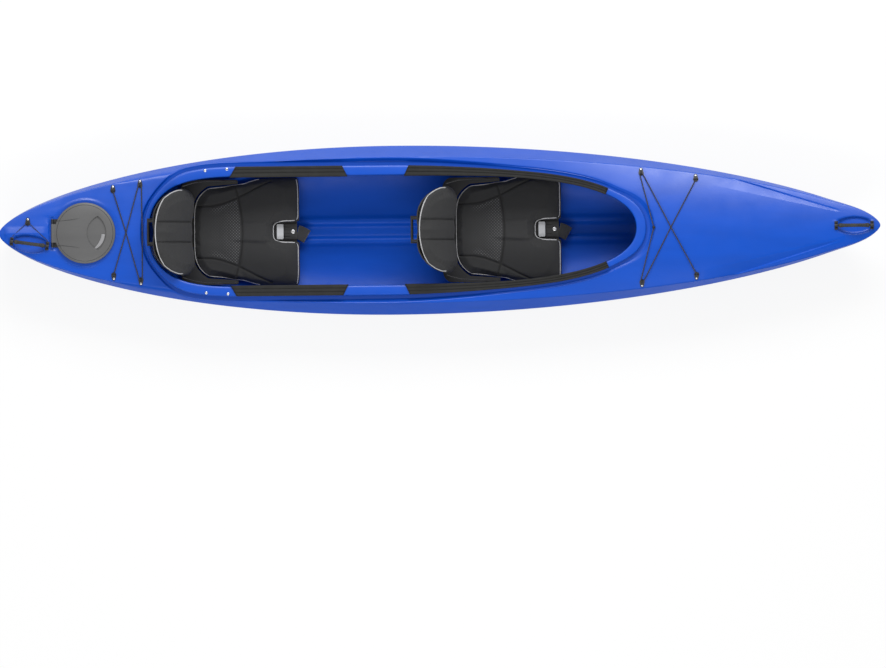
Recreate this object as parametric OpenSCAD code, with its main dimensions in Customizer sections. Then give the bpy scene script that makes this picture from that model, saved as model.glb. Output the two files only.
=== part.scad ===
// Tandem kayak with two adjustable seats, foot braces, a stern hatch and deck bungees.
// Millimetres. +X is the bow, +Y is port, +Z is up. The origin is under the middle of the keel.

/* [Hull] */
// Length overall
hull_length = 4110; // [4060:10:4200]
// Beam over the sheer edge
hull_beam = 790; // [780:2:810]
// Widest station, measured from the middle as a share of the length
beam_share = -0.0499; // [-0.0559:0.001:-0.0439]
// Wall of the moulding
wall = 5; // [4.5:0.5:6]
// Half length of the flat part of the keel
keel_flat = 640; // [560:10:700]
// Rise of the keel at the stern foot
stern_rocker = 44; // [30:1:55]
// Rise of the keel at the bow foot
bow_rocker = 33; // [25:1:45]
// Height of the chine at the widest station
chine_height = 74; // [70:1:80]
// Height of the sheer edge at the widest station
sheer_height = 207; // [202:1:212]
// Height of the deck on the centreline behind the cockpit
aft_deck_height = 314; // [310:1:318]
// Height of the crest of the fore deck
fore_deck_height = 350; // [346:1:354]

/* [Cockpit] */
// Length of the stern deck behind the cockpit opening
stern_deck = 703; // [699:1:705]
// Length of the fore deck in front of the cockpit opening, as a share of the hull's length
fore_deck_share = 0.2774; // [0.276:0.0005:0.279]
// Width of the cockpit opening
cockpit_width = 512; // [506:2:516]
// How far the lowest stretch of the coaming rim lies below the crown of the stern deck
rim_drop = 9; // [6:1:12]
// Width of the coaming rim
rim_width = 47; // [44:1:48]
// Depth of the gutter around the coaming, below the rim
gutter_depth = 32; // [30:1:34]
// Width of the gutter outside the rim
gutter_width = 33; // [28:1:36]

/* [Hatch] */
// Distance of the hatch centre from the stern end
hatch_from_stern = 405; // [403:1:408]
// Radius of the lid
hatch_lid_r = 142; // [138:1:143]
// Radius of the clear opening
hatch_clear_r = 108; // [102:1:110]

/* [Seats] */
// Room between the rear seat's back post and the coaming
back_room = 18.4; // [17:0.2:21]
// Distance from the rear edge of the front seat's cushion to the front end of the cockpit
front_seat_room = 842; // [830:1:845]
// Length of a seat cushion
seat_length = 498; // [488:1:504]
// Lean of the back post
back_lean = 17; // [16:0.5:18]
// Length of the back post above its hinge
post_length = 282; // [270:2:284]

/* [Foot braces] */
// Distance between the two bolts of a rail
rail_bolt_gap = 370; // [350:5:380]
// How far a pedal reaches in from its rail
pedal_reach = 56; // [50:1:58]
// Width of a pedal's foot plate
pedal_height = 88; // [80:2:92]

/* [Fittings] */
// Diameter of the deck bungees
bungee_d = 5; // [4:0.5:5.5]
// Diameter of the keeper cord at the stern
keeper_d = 3; // [2.5:0.5:3.5]
// Distance between the anchors of a carrying handle
handle_span = 167; // [160:1:170]
// Height of a carrying handle's arch above its anchors' axis
handle_arch = 24; // [20:1:26]
// Thickness of the coaming pads
pad_t = 5; // [4:0.5:6]

/* [Hidden] */
half_length = hull_length / 2;
// A share of the hull's length, in whole millimetres
function of_length(share) = round(share * hull_length);
beam_station = of_length(beam_share);
cockpit_aft = stern_deck - half_length;
cockpit_front = half_length - of_length(fore_deck_share);
front_seat_x = cockpit_front - front_seat_room;
// Station at a share of the cockpit's length from its aft end, in whole millimetres
function in_cockpit(share) = round(cockpit_aft + share * (cockpit_front - cockpit_aft));
rim_height = aft_deck_height - rim_drop;
// Narrowest half breadth, at the very ends
tip_half = 6;
// Plan curves of the sheer edge aft and forward of the widest station
stern_fullness = 0.65;
bow_fullness = 0.72;
// Distance of the stern foot and the bow foot from the ends
stern_foot = 50;
bow_foot = 385;
// Height that the stern post and the stem climb above the foot
stern_post_rise = 118;
stem_rise = 258;
// Rise of the chine and of the sheer edge at the ends
chine_stern_rise = 108;
chine_bow_rise = 230;
sheer_stern_rise = 83;
sheer_bow_rise = 105;
// Stations along the hull and corners of a half section
hull_stations = 34;
// Height of the floor ridges that carry the seats, and where they lie
ridge_top = 22;
ridge_in = 27;
ridge_out = 66;
ridge_aft = cockpit_aft + 82;
ridge_front = cockpit_front - 15;
// Wall of the coaming, its lip and the lip's turned down edge
riser = 13;
lip = 8;
lip_edge = 17;
// Straight stretch of the cockpit sides
cockpit_straight_aft = in_cockpit(0.1994);
cockpit_straight_front = in_cockpit(0.4641);

// Room between pieces that only touch, and round pieces that slide or turn
seat_gap = 0.3;
slide_gap = 1;
hinge_gap = 0.3;
// Screw shank radius, and the hole for it
screw_r = 2.5;
screw_hole_r = screw_r + 0.4;

HULL_BLUE = [0.11, 0.27, 0.78];
BLACK = [0.06, 0.06, 0.07];
CHARCOAL = [0.2, 0.2, 0.22];
HATCH_GREY = [0.3, 0.3, 0.33];
LIGHT_GREY = [0.68, 0.7, 0.72];
SILVER = [0.8, 0.8, 0.82];
FOAM = [0.25, 0.25, 0.27];

function clamp01(t) = min(1, max(0, t));
function smooth(t) = let (c = clamp01(t)) c * c * (3 - 2 * c);
function mix(a, b, t) = a + (b - a) * t;
function flip(p) = [p[0], -p[1], p[2]];

// Fraction of the way from the widest station to the end
function run(x) = x < beam_station
  ? (beam_station - x) / (beam_station + half_length)
  : (x - beam_station) / (half_length - beam_station);
function by_end(x, aft, fore) = x < beam_station ? aft : fore;

function sheer_half(x) =
  max(tip_half, hull_beam / 2 * pow(max(0, 1 - pow(run(x), 2)), by_end(x, stern_fullness, bow_fullness)));
function chine_half(x) = sheer_half(x) * (0.88 - by_end(x, 0.2, 0.3) * pow(run(x), 2));
function shoulder_half(x) = sheer_half(x) * (0.862 + 0.1 * pow(run(x), 2));

function keel_z(x) =
  by_end(x, stern_rocker, bow_rocker) * pow(max(0, abs(x) - keel_flat) / (half_length - keel_flat), 2)
  + stern_post_rise * pow(max(0, stern_foot - half_length - x) / stern_foot, 2)
  + stem_rise * pow(max(0, x - half_length + bow_foot) / bow_foot, 2);
function chine_z(x) =
  chine_height + by_end(x, chine_stern_rise * pow(run(x), 2.3), chine_bow_rise * pow(run(x), 2.5));
function sheer_z(x) =
  sheer_height + by_end(x, sheer_stern_rise * pow(run(x), 2.5), sheer_bow_rise * pow(run(x), 2.8));
// The deck climbs to the crest of the fore deck, falls to the bow, and steps up behind the hatch
crest_x = cockpit_front + 65;
climb_start = crest_x - of_length(0.1776);
bow_fall = 30;
stern_step_x = hatch_from_stern - half_length - 130;
stern_step = 8;
function deck_centre_z(x) =
  mix(aft_deck_height, fore_deck_height, smooth((x - climb_start) / (crest_x - climb_start)))
  - bow_fall * pow(max(0, x - crest_x) / (half_length - crest_x), 1.5)
  + stern_step * smooth((stern_step_x - x) / 60);
function shoulder_z(x) = mix(sheer_z(x), deck_centre_z(x),
  mix(0.8, 0.62, smooth((x - of_length(0.0487)) / of_length(0.219))));

// Height of the outside of the deck
function deck_z(x, y) =
  shoulder_z(x) + (deck_centre_z(x) - shoulder_z(x)) * (1 - pow(min(1, abs(y) / shoulder_half(x)), 2));
// Flat share of the bottom and the turn of its bilge
function flat_share(x) = 0.3 * (1 - pow(run(x), 1.5));
function bilge_power(x) = 2.6 - 1.3 * run(x);
// The steeper the bottom is towards the ends, the more the inner skin has to rise to keep its wall
function steepen(x, d) = d * 2.8 * pow(run(x), 2);
function inner_chine_z(x, d) = chine_z(x) + d * 0.4 + steepen(x, d) / 2;
function bottom_point(x, q, d) =
  let (f = flat_share(x), rise = pow(max(0, q - f) / (1 - f), bilge_power(x)))
  [x, (chine_half(x) - d) * q, mix(keel_z(x) + d + steepen(x, d), inner_chine_z(x, d), rise)];
// Half breadth of the side between the chine and the sheer edge, t from 0 to 1
function side_half(x, t, d) = mix(chine_half(x) - d, sheer_half(x) - d, 1 - pow(1 - t, 1.5));
function side_point(x, t, d) = [x, side_half(x, t, d), mix(inner_chine_z(x, d), sheer_z(x), t)];
function shoulder_point(x, t, d) =
  [x, mix(sheer_half(x), shoulder_half(x), t) - d, mix(sheer_z(x), shoulder_z(x) - d * 0.6, t)];
function deck_point(x, t, d) = let (y = (shoulder_half(x) - d) * t) [x, y, deck_z(x, y) - d];

// Corners of the bottom: the outer skin is plain, the inner one carries the seat ridges
function plain_bottom(x, d) =
  [for (q = [0, flat_share(x) + 0.001, 0.48, 0.68, 0.85, 1]) bottom_point(x, q, d)];
function ridge_corner(x, y, d, lift) = let (
  half = chine_half(x) - d,
  p = bottom_point(x, min(y / half, y / ridge_out * 0.42), d))
  [x, p[1], lift && x > ridge_aft && x < ridge_front ? ridge_top : p[2]];
function inner_bottom(x, d) = concat(
  [bottom_point(x, 0, d), ridge_corner(x, ridge_in, d, false), ridge_corner(x, ridge_in + 5, d, true),
    ridge_corner(x, ridge_out - 5, d, true), ridge_corner(x, ridge_out, d, false)],
  [for (q = [0.48, 0.68, 0.85, 1]) bottom_point(x, q, d)]);

// Half section from the keel up to the deck centreline, d inside the outer skin
function half_section(x, d, ridged) = concat(
  ridged ? inner_bottom(x, d) : plain_bottom(x, d),
  [for (t = [0.3, 0.65, 1]) side_point(x, t, d)],
  [shoulder_point(x, 0.55, d)],
  [for (t = [1, 0.75, 0.5, 0.25, 0]) deck_point(x, t, d)]);
function whole_section(x, d, ridged) = let (h = half_section(x, d, ridged), n = len(h))
  concat(h, [for (i = [n - 2:-1:1]) flip(h[i])]);

// Stations from x0 to x1, closer together near both ends
function station(x0, x1, n, i) =
  let (u = 2 * i / n - 1, s = 1 - pow(1 - abs(u), 1.4))
  mix(x0, x1, 0.5 + 0.5 * sign(u) * s);

// Skin over a list of rings of equal length, closed at both ends
module skin(rings) {
  n = len(rings[0]);
  last = len(rings) - 1;
  sides = [for (i = [0:last - 1], j = [0:n - 1], tri = [
      [i * n + j, (i + 1) * n + (j + 1) % n, i * n + (j + 1) % n],
      [i * n + j, (i + 1) * n + j, (i + 1) * n + (j + 1) % n]]) tri];
  ends = [[for (j = [0:n - 1]) j], [for (j = [n - 1:-1:0]) last * n + j]];
  polyhedron([for (r = rings, p = r) p], concat(sides, ends), convexity = 10);
}

// Skin over a closed loop of rings
module loop_skin(rings) {
  n = len(rings[0]);
  m = len(rings);
  faces = [for (i = [0:m - 1], j = [0:n - 1], tri = [
      [i * n + j, i * n + (j + 1) % n, ((i + 1) % m) * n + (j + 1) % n],
      [i * n + j, ((i + 1) % m) * n + (j + 1) % n, ((i + 1) % m) * n + j]]) tri];
  polyhedron([for (r = rings, p = r) p], faces, convexity = 10);
}

module hull_body(d, aft_gap, bow_gap, n) {
  skin([for (i = [0:n])
    whole_section(station(-half_length + aft_gap, half_length - bow_gap, n, i), d, d > 0)]);
}

// Half width of the cockpit opening
function cockpit_half(x) =
  cockpit_width / 2 * (x > cockpit_straight_front
    ? pow(max(0, 1 - pow((x - cockpit_straight_front) / (cockpit_front - cockpit_straight_front), 1.85)), 0.47)
    : x < cockpit_straight_aft
      ? pow(max(0, 1 - pow((cockpit_straight_aft - x) / (cockpit_straight_aft - cockpit_aft), 3.2)), 0.42)
      : 1);
// Port side of the opening, from the front tip to the aft tip
cockpit_port = concat(
  [for (a = [0:9:89]) let (
    x = mix(cockpit_straight_front, cockpit_front, pow(cos(a), 1.1))) [x, cockpit_half(x)]],
  [for (x = [cockpit_straight_front, (cockpit_straight_front + cockpit_straight_aft) / 2])
    [x, cockpit_half(x)]],
  [for (a = [90:-11.25:0]) let (
    x = mix(cockpit_straight_aft, cockpit_aft, pow(cos(a), 0.9))) [x, cockpit_half(x)]]);
cockpit_line = concat(cockpit_port,
  [for (i = [len(cockpit_port) - 2:-1:1]) [cockpit_port[i][0], -cockpit_port[i][1]]]);
function outward(i) = let (
  n = len(cockpit_line),
  t = cockpit_line[(i + 1) % n] - cockpit_line[(i + n - 1) % n],
  l = norm(t)) [t[1] / l, -t[0] / l];
// Top of the coaming rim: it climbs a little towards its aft end, and in front up to the fore deck
rim_low_x = of_length(-0.0195);
rim_aft_rise = 20;
rim_front_rise = fore_deck_height - rim_height + 1;
function rim_z(x) = rim_height + rim_aft_rise * pow(max(0, rim_low_x - x) / of_length(0.3041), 1.5)
  + rim_front_rise * pow(max(0, x - rim_low_x) / of_length(0.2433), 2.2);
// Ring round the cockpit: profile points are [distance out from the opening, height above the rim]
// The rim and gutter narrow round the aft end
function ring_scale(x) = 1 - 0.5 * smooth((cockpit_aft + 192 - x) / 160);
module cockpit_ring(profile) {
  loop_skin([for (i = [0:len(cockpit_line) - 1]) let (c = cockpit_line[i], o = outward(i) * ring_scale(c[0]))
    [for (p = profile) [c[0] + o[0] * p[0], c[1] + o[1] * p[0], rim_z(c[0]) + p[1]]]]);
}
// Hole in the deck, with its edge inside the coaming's wall
module cockpit_hole() {
  translate([0, 0, 150]) linear_extrude(300)
    polygon([for (i = [0:len(cockpit_line) - 1])
      cockpit_line[i] + outward(i) * ring_scale(cockpit_line[i][0]) * riser / 2]);
}

gutter_out = rim_width + gutter_width;
module gutter(d) {
  cockpit_ring([[riser - d - 4, -gutter_depth - d], [gutter_out - 12 + d, -gutter_depth - d],
    [gutter_out + d + 40, 60], [riser - d - 4, 60]]);
}
module coaming() {
  cockpit_ring([[0, -48], [riser, -48], [riser, -lip], [rim_width - lip, -lip],
    [rim_width - lip, -lip_edge], [rim_width, -lip_edge], [rim_width, -4], [rim_width - 4, 0], [0, 0]]);
}

// Hatch seat moulded flat in the stern deck
hatch_x = hatch_from_stern - half_length;
hatch_z = aft_deck_height - 4;
hatch_seat_r = hatch_lid_r + 13;
hinge_back = hatch_lid_r + 9;
hinge_up = 14;
hinge_half = 66;
hatch_pin_r = 2.5;
knuckle_r = 6;
module hatch_seat(d, low, high) {
  translate([hatch_x, 0, hatch_z]) {
    translate([0, 0, low]) cylinder(r = hatch_seat_r + d, h = high - low, $fn = 40);
    translate([-hinge_back - 12 - d, -hinge_half - 8 - d, low])
      cube([60, 2 * (hinge_half + 8 + d), high - low]);
  }
}

// Carrying handles: middle of the axis, turn in plan, and height of the axis
bow_handle_at = [half_length - 126.5, 0];
stern_handle_at = [147 - half_length, -47];
stern_handle_turn = -8;
anchor_reach = handle_span / 2;
anchor_l = 16;
anchor_w = 40;
anchor_rise = 13;
boss_deep = 16;
function handle_end(at, turn, s) = at + s * anchor_reach * [cos(turn), sin(turn)];
function anchor_foot(p) = 0.6 + max([for (a = [-1, 1], b = [-1, 1])
  deck_z(p[0] + a * (anchor_l / 2 + 2), p[1] + b * anchor_w / 2)]);
bow_axis_z = anchor_foot(handle_end(bow_handle_at, 0, -1)) + anchor_rise;
stern_axis_z = anchor_foot(handle_end(stern_handle_at, stern_handle_turn, 1)) + anchor_rise;
bow_ends = [for (s = [-1, 1]) [handle_end(bow_handle_at, 0, s), 0]];
stern_ends = [for (s = [-1, 1]) [handle_end(stern_handle_at, stern_handle_turn, s), stern_handle_turn]];
module at_anchor(e, z) {
  translate([e[0][0], e[0][1], z]) rotate([0, 0, e[1]]) children();
}
module handle_bosses() {
  for (e = concat(bow_ends, stern_ends))
    at_anchor(e, anchor_foot(e[0]))
      translate([-anchor_l / 2 - 1, -anchor_w / 2 - 1, -boss_deep]) cube([anchor_l + 2, anchor_w + 2, boss_deep]);
}
anchor_screw_y = anchor_w / 2 - 7;

// Deck fittings: [x, y] of their screws on the port side
stern_hook_at = [537 - half_length, 214];
stern_eye_at = [cockpit_aft - 40, 238];
bow_eye_at = [cockpit_front + 25, 270];
bow_hook_at = [cockpit_front + 279, 238];
bead_at = [cockpit_front + 81, 0];
keeper_at = [140 - half_length, 66];
function slope_x(x, y) = atan((deck_z(x + 2, y) - deck_z(x - 2, y)) / 4);
function slope_y(x, y) = atan((deck_z(x, y + 2) - deck_z(x, y - 2)) / 4);
module on_deck(p, lift = 0.1) {
  translate([p[0], p[1], deck_z(p[0], p[1])]) rotate([slope_y(p[0], p[1]), -slope_x(p[0], p[1]), 0])
    translate([0, 0, lift]) children();
}
both_sides = [1, -1];
function side_of(p, s) = [p[0], p[1] * s];
deck_screw_places = concat(
  [for (p = [stern_hook_at, stern_eye_at, bow_eye_at, bow_hook_at], s = both_sides) side_of(p, s)],
  [keeper_at]);

// Screws along the rear of the coaming
coaming_screw_x = [in_cockpit(0.1182), in_cockpit(0.1614)];
coaming_screw_out = 35;
line_y = [for (i = [len(cockpit_port) - 1:-1:0]) cockpit_port[i]];
line_ox = [for (i = [len(cockpit_port) - 1:-1:0]) [cockpit_port[i][0], outward(i)[0]]];
line_oy = [for (i = [len(cockpit_port) - 1:-1:0]) [cockpit_port[i][0], outward(i)[1]]];
line_z = [for (i = [len(cockpit_port) - 1:-1:0]) [cockpit_port[i][0], rim_z(cockpit_port[i][0])]];
// Point of the rim at x, o outside the opening on the port side and h above the rim
function rim_point(x, o, h) =
  [x + lookup(x, line_ox) * o, lookup(x, line_y) + lookup(x, line_oy) * o, lookup(x, line_z) + h];

// Foot braces: middle and height of each pair of rails
brace_names = ["rear", "solo", "front"];
brace_x = [front_seat_x - 218, front_seat_x + 422, cockpit_front + 163];
brace_z = [152, 150, 172];
// How far a rail stands off the hull, and the room between its feet and the curved wall
standoff = 12;
standoff_gap = 2;
rail_t = 14;
rail_h = 28;
rail_bolt_r = 3;
function wall_y(x, z) =
  side_half(x, (z - inner_chine_z(x, wall)) / (sheer_z(x) - inner_chine_z(x, wall)), wall);
function rail_yaw(k) = atan((wall_y(brace_x[k] + rail_bolt_gap / 2, brace_z[k])
  - wall_y(brace_x[k] - rail_bolt_gap / 2, brace_z[k])) / rail_bolt_gap);
function rail_lean(k) = atan((wall_y(brace_x[k], brace_z[k] + 10) - wall_y(brace_x[k], brace_z[k] - 10)) / 20);
function rail_wall(k) = (wall_y(brace_x[k] + rail_bolt_gap / 2, brace_z[k])
  + wall_y(brace_x[k] - rail_bolt_gap / 2, brace_z[k])) / 2;
// Thickness of the hull's side at a rail's bolts
function outer_y(x, z) = side_half(x, (z - chine_z(x)) / (sheer_z(x) - chine_z(x)), 0);
function skin_t(k) = cos(rail_lean(k)) * max([for (e = [-1, 1]) let (x = brace_x[k] + e * rail_bolt_gap / 2)
  outer_y(x, brace_z[k]) - wall_y(x, brace_z[k])]);
// Frame of a rail: X along it, -Y inboard from the wall, Z up the wall
module on_wall(k, s) {
  mirror([0, s < 0 ? 1 : 0, 0])
    translate([brace_x[k], rail_wall(k), brace_z[k]]) rotate([0, 0, rail_yaw(k)]) rotate([-rail_lean(k), 0, 0])
      children();
}
module rail_bolt_places(k, s) {
  for (e = [-1, 1]) on_wall(k, s) translate([e * rail_bolt_gap / 2, 0, 0]) rotate([90, 0, 0]) children();
}

// Flat seats on the bosses, screw and bolt holes, and the mouth of the hatch
module hull_holes() {
  for (e = concat(bow_ends, stern_ends)) at_anchor(e, anchor_foot(e[0]))
    translate([-anchor_l / 2 - 1, -anchor_w / 2 - 1, 0]) cube([anchor_l + 2, anchor_w + 2, anchor_rise]);
  translate([hatch_x, 0, hatch_z - 60]) cylinder(r = hatch_clear_r + 6, h = 120, $fn = 40);
  for (p = deck_screw_places) on_deck(p) translate([0, 0, -25]) cylinder(r = screw_hole_r, h = 40, $fn = 8);
  for (e = concat(bow_ends, stern_ends), s = both_sides)
    at_anchor(e, anchor_foot(e[0])) translate([0, s * anchor_screw_y, -22])
      cylinder(r = screw_hole_r, h = 40, $fn = 8);
  for (x = coaming_screw_x, s = both_sides) let (p = rim_point(x, coaming_screw_out, 0))
    translate([p[0], p[1] * s, p[2] - 12]) cylinder(r = screw_hole_r, h = 30, $fn = 8);
  for (k = [0:2], s = both_sides) rail_bolt_places(k, s)
    cylinder(r = rail_bolt_r + 0.4, h = 40, center = true, $fn = 8);
}

module hull_shell() {
  color(HULL_BLUE) resize([0, 0, 0]) difference() {
    union() {
      difference() {
        union() {
          hull_body(0, 0, 0, hull_stations);
          hatch_seat(0, -14, 0);
          handle_bosses();
        }
        gutter(0);
        hatch_seat(0, 0, 60);
        difference() {
          hull_body(wall, 60, 170, hull_stations);
          gutter(wall);
          hatch_seat(wall, -wall, 60);
        }
        cockpit_hole();
      }
      coaming();
    }
    hull_holes();
  }
}

module stern_bulkhead() {
  middle = (cockpit_aft - gutter_out + hatch_x + hatch_seat_r) / 2;
  color(FOAM) skin([for (x = [middle - 15, middle + 15]) whole_section(x, wall + 0.8, false)]);
}

// Stern hatch, measured from the flat seat
rim_tube = 5;
rim_top = 14;
gasket_h = 3;
lid_low = rim_top + gasket_h + seat_gap;
lid_top = lid_low + 4.5;
module at_hatch() {
  translate([hatch_x, 0, hatch_z + seat_gap]) children();
}
module knuckle(y0, y1) {
  translate([-hinge_back, y1, hinge_up]) rotate([90, 0, 0]) cylinder(r = knuckle_r, h = y1 - y0, $fn = 32);
}
module hinge_bore(r) {
  translate([-hinge_back, 0, hinge_up]) rotate([90, 0, 0])
    cylinder(r = r, h = 2 * hinge_half + 20, center = true, $fn = 32);
}
hinge_split = hinge_half - 22;
module hatch_rim() {
  color(BLACK) at_hatch() difference() {
    union() {
      rotate_extrude($fn = 96) polygon([
        [hatch_clear_r, -18], [hatch_clear_r + rim_tube, -18], [hatch_clear_r + rim_tube, 0],
        [hatch_lid_r - 2, 0], [hatch_lid_r - 2, 4], [hatch_clear_r + 13, 5],
        [hatch_clear_r + 13, rim_top], [hatch_clear_r, rim_top]]);
      for (s = both_sides) {
        y0 = s > 0 ? hinge_split : -hinge_half;
        translate([-hinge_back - knuckle_r, y0, 0]) cube([40, hinge_half - hinge_split, 4]);
        translate([-hinge_back - knuckle_r, y0, 0])
          cube([2 * knuckle_r, hinge_half - hinge_split, hinge_up]);
        knuckle(y0, y0 + hinge_half - hinge_split);
      }
    }
    hinge_bore(hatch_pin_r + hinge_gap / 3);
  }
}
module hatch_gasket() {
  color(BLACK) at_hatch() translate([0, 0, rim_top]) rotate_extrude($fn = 96) polygon([
    [hatch_clear_r + 2, 0.1], [hatch_clear_r + 11, 0.1], [hatch_clear_r + 9, gasket_h],
    [hatch_clear_r + 4, gasket_h]]);
}
// Finger recess on the forward side of the lid
recess_x = 9;
recess_r = 86;
recess_edge = hatch_clear_r - 8;
module recess(grow, low, high) {
  intersection() {
    translate([recess_x + recess_r, 0, low]) cylinder(r = recess_r + grow, h = high - low, $fn = 96);
    translate([0, 0, low]) cylinder(r = recess_edge + grow, h = high - low, $fn = 96);
  }
}
module hatch_lid() {
  color(HATCH_GREY) at_hatch() difference() {
    union() {
      rotate_extrude($fn = 96) polygon([
        [0, lid_low], [hatch_clear_r + 15, lid_low], [hatch_clear_r + 15, 6], [hatch_lid_r - 2, 6],
        [hatch_lid_r, 9], [hatch_lid_r - 1, lid_low], [hatch_lid_r - 9, lid_top], [0, lid_top]]);
      recess(4, lid_low - 7, lid_low + 1);
      translate([-hinge_back, -hinge_split + slide_gap, hinge_up - 4])
        cube([22, 2 * (hinge_split - slide_gap), 8]);
      knuckle(-hinge_split + slide_gap, hinge_split - slide_gap);
    }
    recess(0, lid_low - 3, lid_top + 5);
    hinge_bore(hatch_pin_r + hinge_gap);
  }
}
module hatch_pull() {
  pull_r = recess_edge - 3;
  color(LIGHT_GREY) at_hatch() translate([0, 0, lid_low - 3 + 0.1]) intersection() {
    difference() {
      cylinder(r = pull_r, h = 5, $fn = 96);
      translate([-36, 14, -1]) cylinder(r = pull_r, h = 7, $fn = 96);
    }
    translate([50, -86, -1]) cube([60, 84, 8]);
    recess(-2, -1, 8);
  }
}
module hatch_hinge_pin() {
  color(SILVER) at_hatch() hinge_pin_solid();
}
module hinge_pin_solid() {
  translate([-hinge_back, 0, hinge_up]) rotate([90, 0, 0])
    cylinder(r = hatch_pin_r, h = 2 * hinge_half + 2, center = true, $fn = 32);
}

// Tube of radius r along a path, n sided
function along(path, i) = let (a = path[max(0, i - 1)], b = path[min(len(path) - 1, i + 1)]) (b - a) / norm(b - a);
function tube_ring(p, t, r, n) = let (
  side = cross(t, [0, 0, 1]) / norm(cross(t, [0, 0, 1])),
  up = cross(side, t))
  [for (k = [0:n - 1]) p + r[0] * cos(360 * k / n) * side - r[1] * sin(360 * k / n) * up];
module tube(path, r, n) {
  skin([for (i = [0:len(path) - 1]) tube_ring(path[i], along(path, i), [r, r], n)]);
}
// Path that follows the deck through [x, y, height above the deck] points, each leg in m steps
function deck_path(points, m) = [for (i = [0:len(points) - 2], j = [0:m - (i < len(points) - 2 ? 1 : 0)])
  let (p = mix(points[i], points[i + 1], j / m)) [p[0], p[1], deck_z(p[0], p[1]) + p[2]]];

// Carrying handles turn on pins in their anchors
handle_pin_r = 4;
grip_half = anchor_reach - anchor_l / 2 - 14;
module handle(at, turn, z) {
  arch = [for (i = [0:12]) let (u = i / 6 - 1) [grip_half * u, 0, handle_arch * (1 - u * u)]];
  translate([at[0], at[1], z]) rotate([0, 0, turn]) {
    skin([for (i = [0:12]) tube_ring(arch[i], along(arch, i), [9, 6], 10)]);
    for (s = both_sides) {
      translate([s * (grip_half + 1), 0, 0]) sphere(r = 10.5, $fn = 40);
      translate([s * (anchor_reach - 4), 0, 0]) rotate([0, 90, 0])
        cylinder(r = handle_pin_r, h = anchor_l + 8, center = true, $fn = 32);
    }
  }
}
module anchors(ends, z) {
  for (e = ends) {
    foot = anchor_foot(e[0]) + 0.1;
    at_anchor(e, 0) difference() {
      union() {
        translate([-anchor_l / 2, -anchor_w / 2, foot]) cube([anchor_l, anchor_w, 4]);
        translate([-anchor_l / 2, -8, foot]) cube([anchor_l, 16, z - foot]);
        translate([0, 0, z]) rotate([0, 90, 0]) cylinder(r = 8, h = anchor_l, center = true, $fn = 32);
      }
      translate([0, 0, z]) rotate([0, 90, 0]) cylinder(r = handle_pin_r + hinge_gap, h = 60, center = true, $fn = 32);
      for (s = both_sides) translate([0, s * anchor_screw_y, foot - 5])
        cylinder(r = screw_hole_r, h = 20, $fn = 24);
    }
  }
}
module bow_handle() { color(BLACK) handle(bow_handle_at, 0, bow_axis_z); }
module stern_handle() { color(BLACK) handle(stern_handle_at, stern_handle_turn, stern_axis_z); }
module handle_anchors() {
  color(BLACK) {
    anchors(bow_ends, bow_axis_z);
    anchors(stern_ends, stern_axis_z);
  }
}

// Domed head standing on z = 0, and a screw with such a head
module dome(r, h) {
  rotate_extrude($fn = 32)
    polygon(concat([[0, 0], [r, 0]], [for (a = [0:22.5:90]) [r * cos(a), h * (0.25 + 0.75 * sin(a))]]));
}
module screw(head_r, head_h, length) {
  dome(head_r, head_h);
  translate([0, 0, -length]) cylinder(r = screw_r, h = length + 0.5, $fn = 24);
}
module handle_screws() {
  color(SILVER) for (e = concat(bow_ends, stern_ends), s = both_sides)
    at_anchor(e, anchor_foot(e[0]) + 4.2) translate([0, s * anchor_screw_y, 0]) screw(5, 3, 14);
}

// Deck eyes and hooks: a foot with a screw, and a loop inboard of it
foot_t = 3;
loop_in = 18;
loop_r = 9.5;
loop_wire = 2;
module fitting_foot() {
  difference() {
    hull() {
      cylinder(r = 8, h = foot_t, $fn = 32);
      translate([0, -loop_in, 0]) cylinder(r = 12, h = foot_t, $fn = 32);
    }
    translate([0, 0, -1]) cylinder(r = screw_hole_r, h = foot_t + 2, $fn = 24);
  }
}
module fitting(p, s, turn, sweep) {
  mirror([0, s < 0 ? 1 : 0, 0]) on_deck(p) {
    fitting_foot();
    translate([0, -loop_in, foot_t]) rotate([90, 0, turn]) rotate_extrude(angle = sweep, $fn = 40)
      translate([loop_r, 0]) circle(r = loop_wire, $fn = 20);
  }
}
module deck_eyes() {
  color(BLACK) for (p = [bow_eye_at, stern_eye_at], s = both_sides) fitting(p, s, 90, 180);
}
module deck_hooks() {
  color(BLACK) for (p = [bow_hook_at, stern_hook_at], s = both_sides) fitting(p, s, 0, 160);
}
module keeper_hook() { color(BLACK) fitting(keeper_at, 1, 90, 180); }
module deck_screws() {
  color(SILVER) for (p = deck_screw_places) on_deck(p, foot_t + 0.3) screw(5, 2.6, 14);
}

// Bungees lie on the deck; at an eye they stand over its foot, and where they cross one rides over
lie = bungee_d / 2 + 0.5;
over = lie + bungee_d + 0.5;
in_eye = foot_t + bungee_d / 2 + 1.6;
function loop_at(p, s, dx, h) = [p[0] + dx, s * (p[1] - loop_in), h];
function hook_end(p, s) = [p[0], s * (p[1] - loop_in + 6), in_eye];
function cross_at(a, b) = let (t = (a[1] - loop_in) / (a[1] + b[1] - 2 * loop_in)) mix(a[0], b[0], t);
stern_cross = cross_at(stern_hook_at, stern_eye_at);
bow_cross = cross_at(bow_hook_at, bow_eye_at);
stern_route = [
  hook_end(stern_hook_at, 1), loop_at(stern_hook_at, 1, 0, in_eye), [stern_cross, 0, lie],
  loop_at(stern_eye_at, -1, -7, in_eye), loop_at(stern_eye_at, -1, 7, in_eye), [stern_eye_at[0] + 9, 0, lie],
  loop_at(stern_eye_at, 1, 7, in_eye), loop_at(stern_eye_at, 1, -7, in_eye),
  [stern_cross, 0, over], loop_at(stern_hook_at, -1, 0, in_eye), hook_end(stern_hook_at, -1)];
bead_r = 7;
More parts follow.
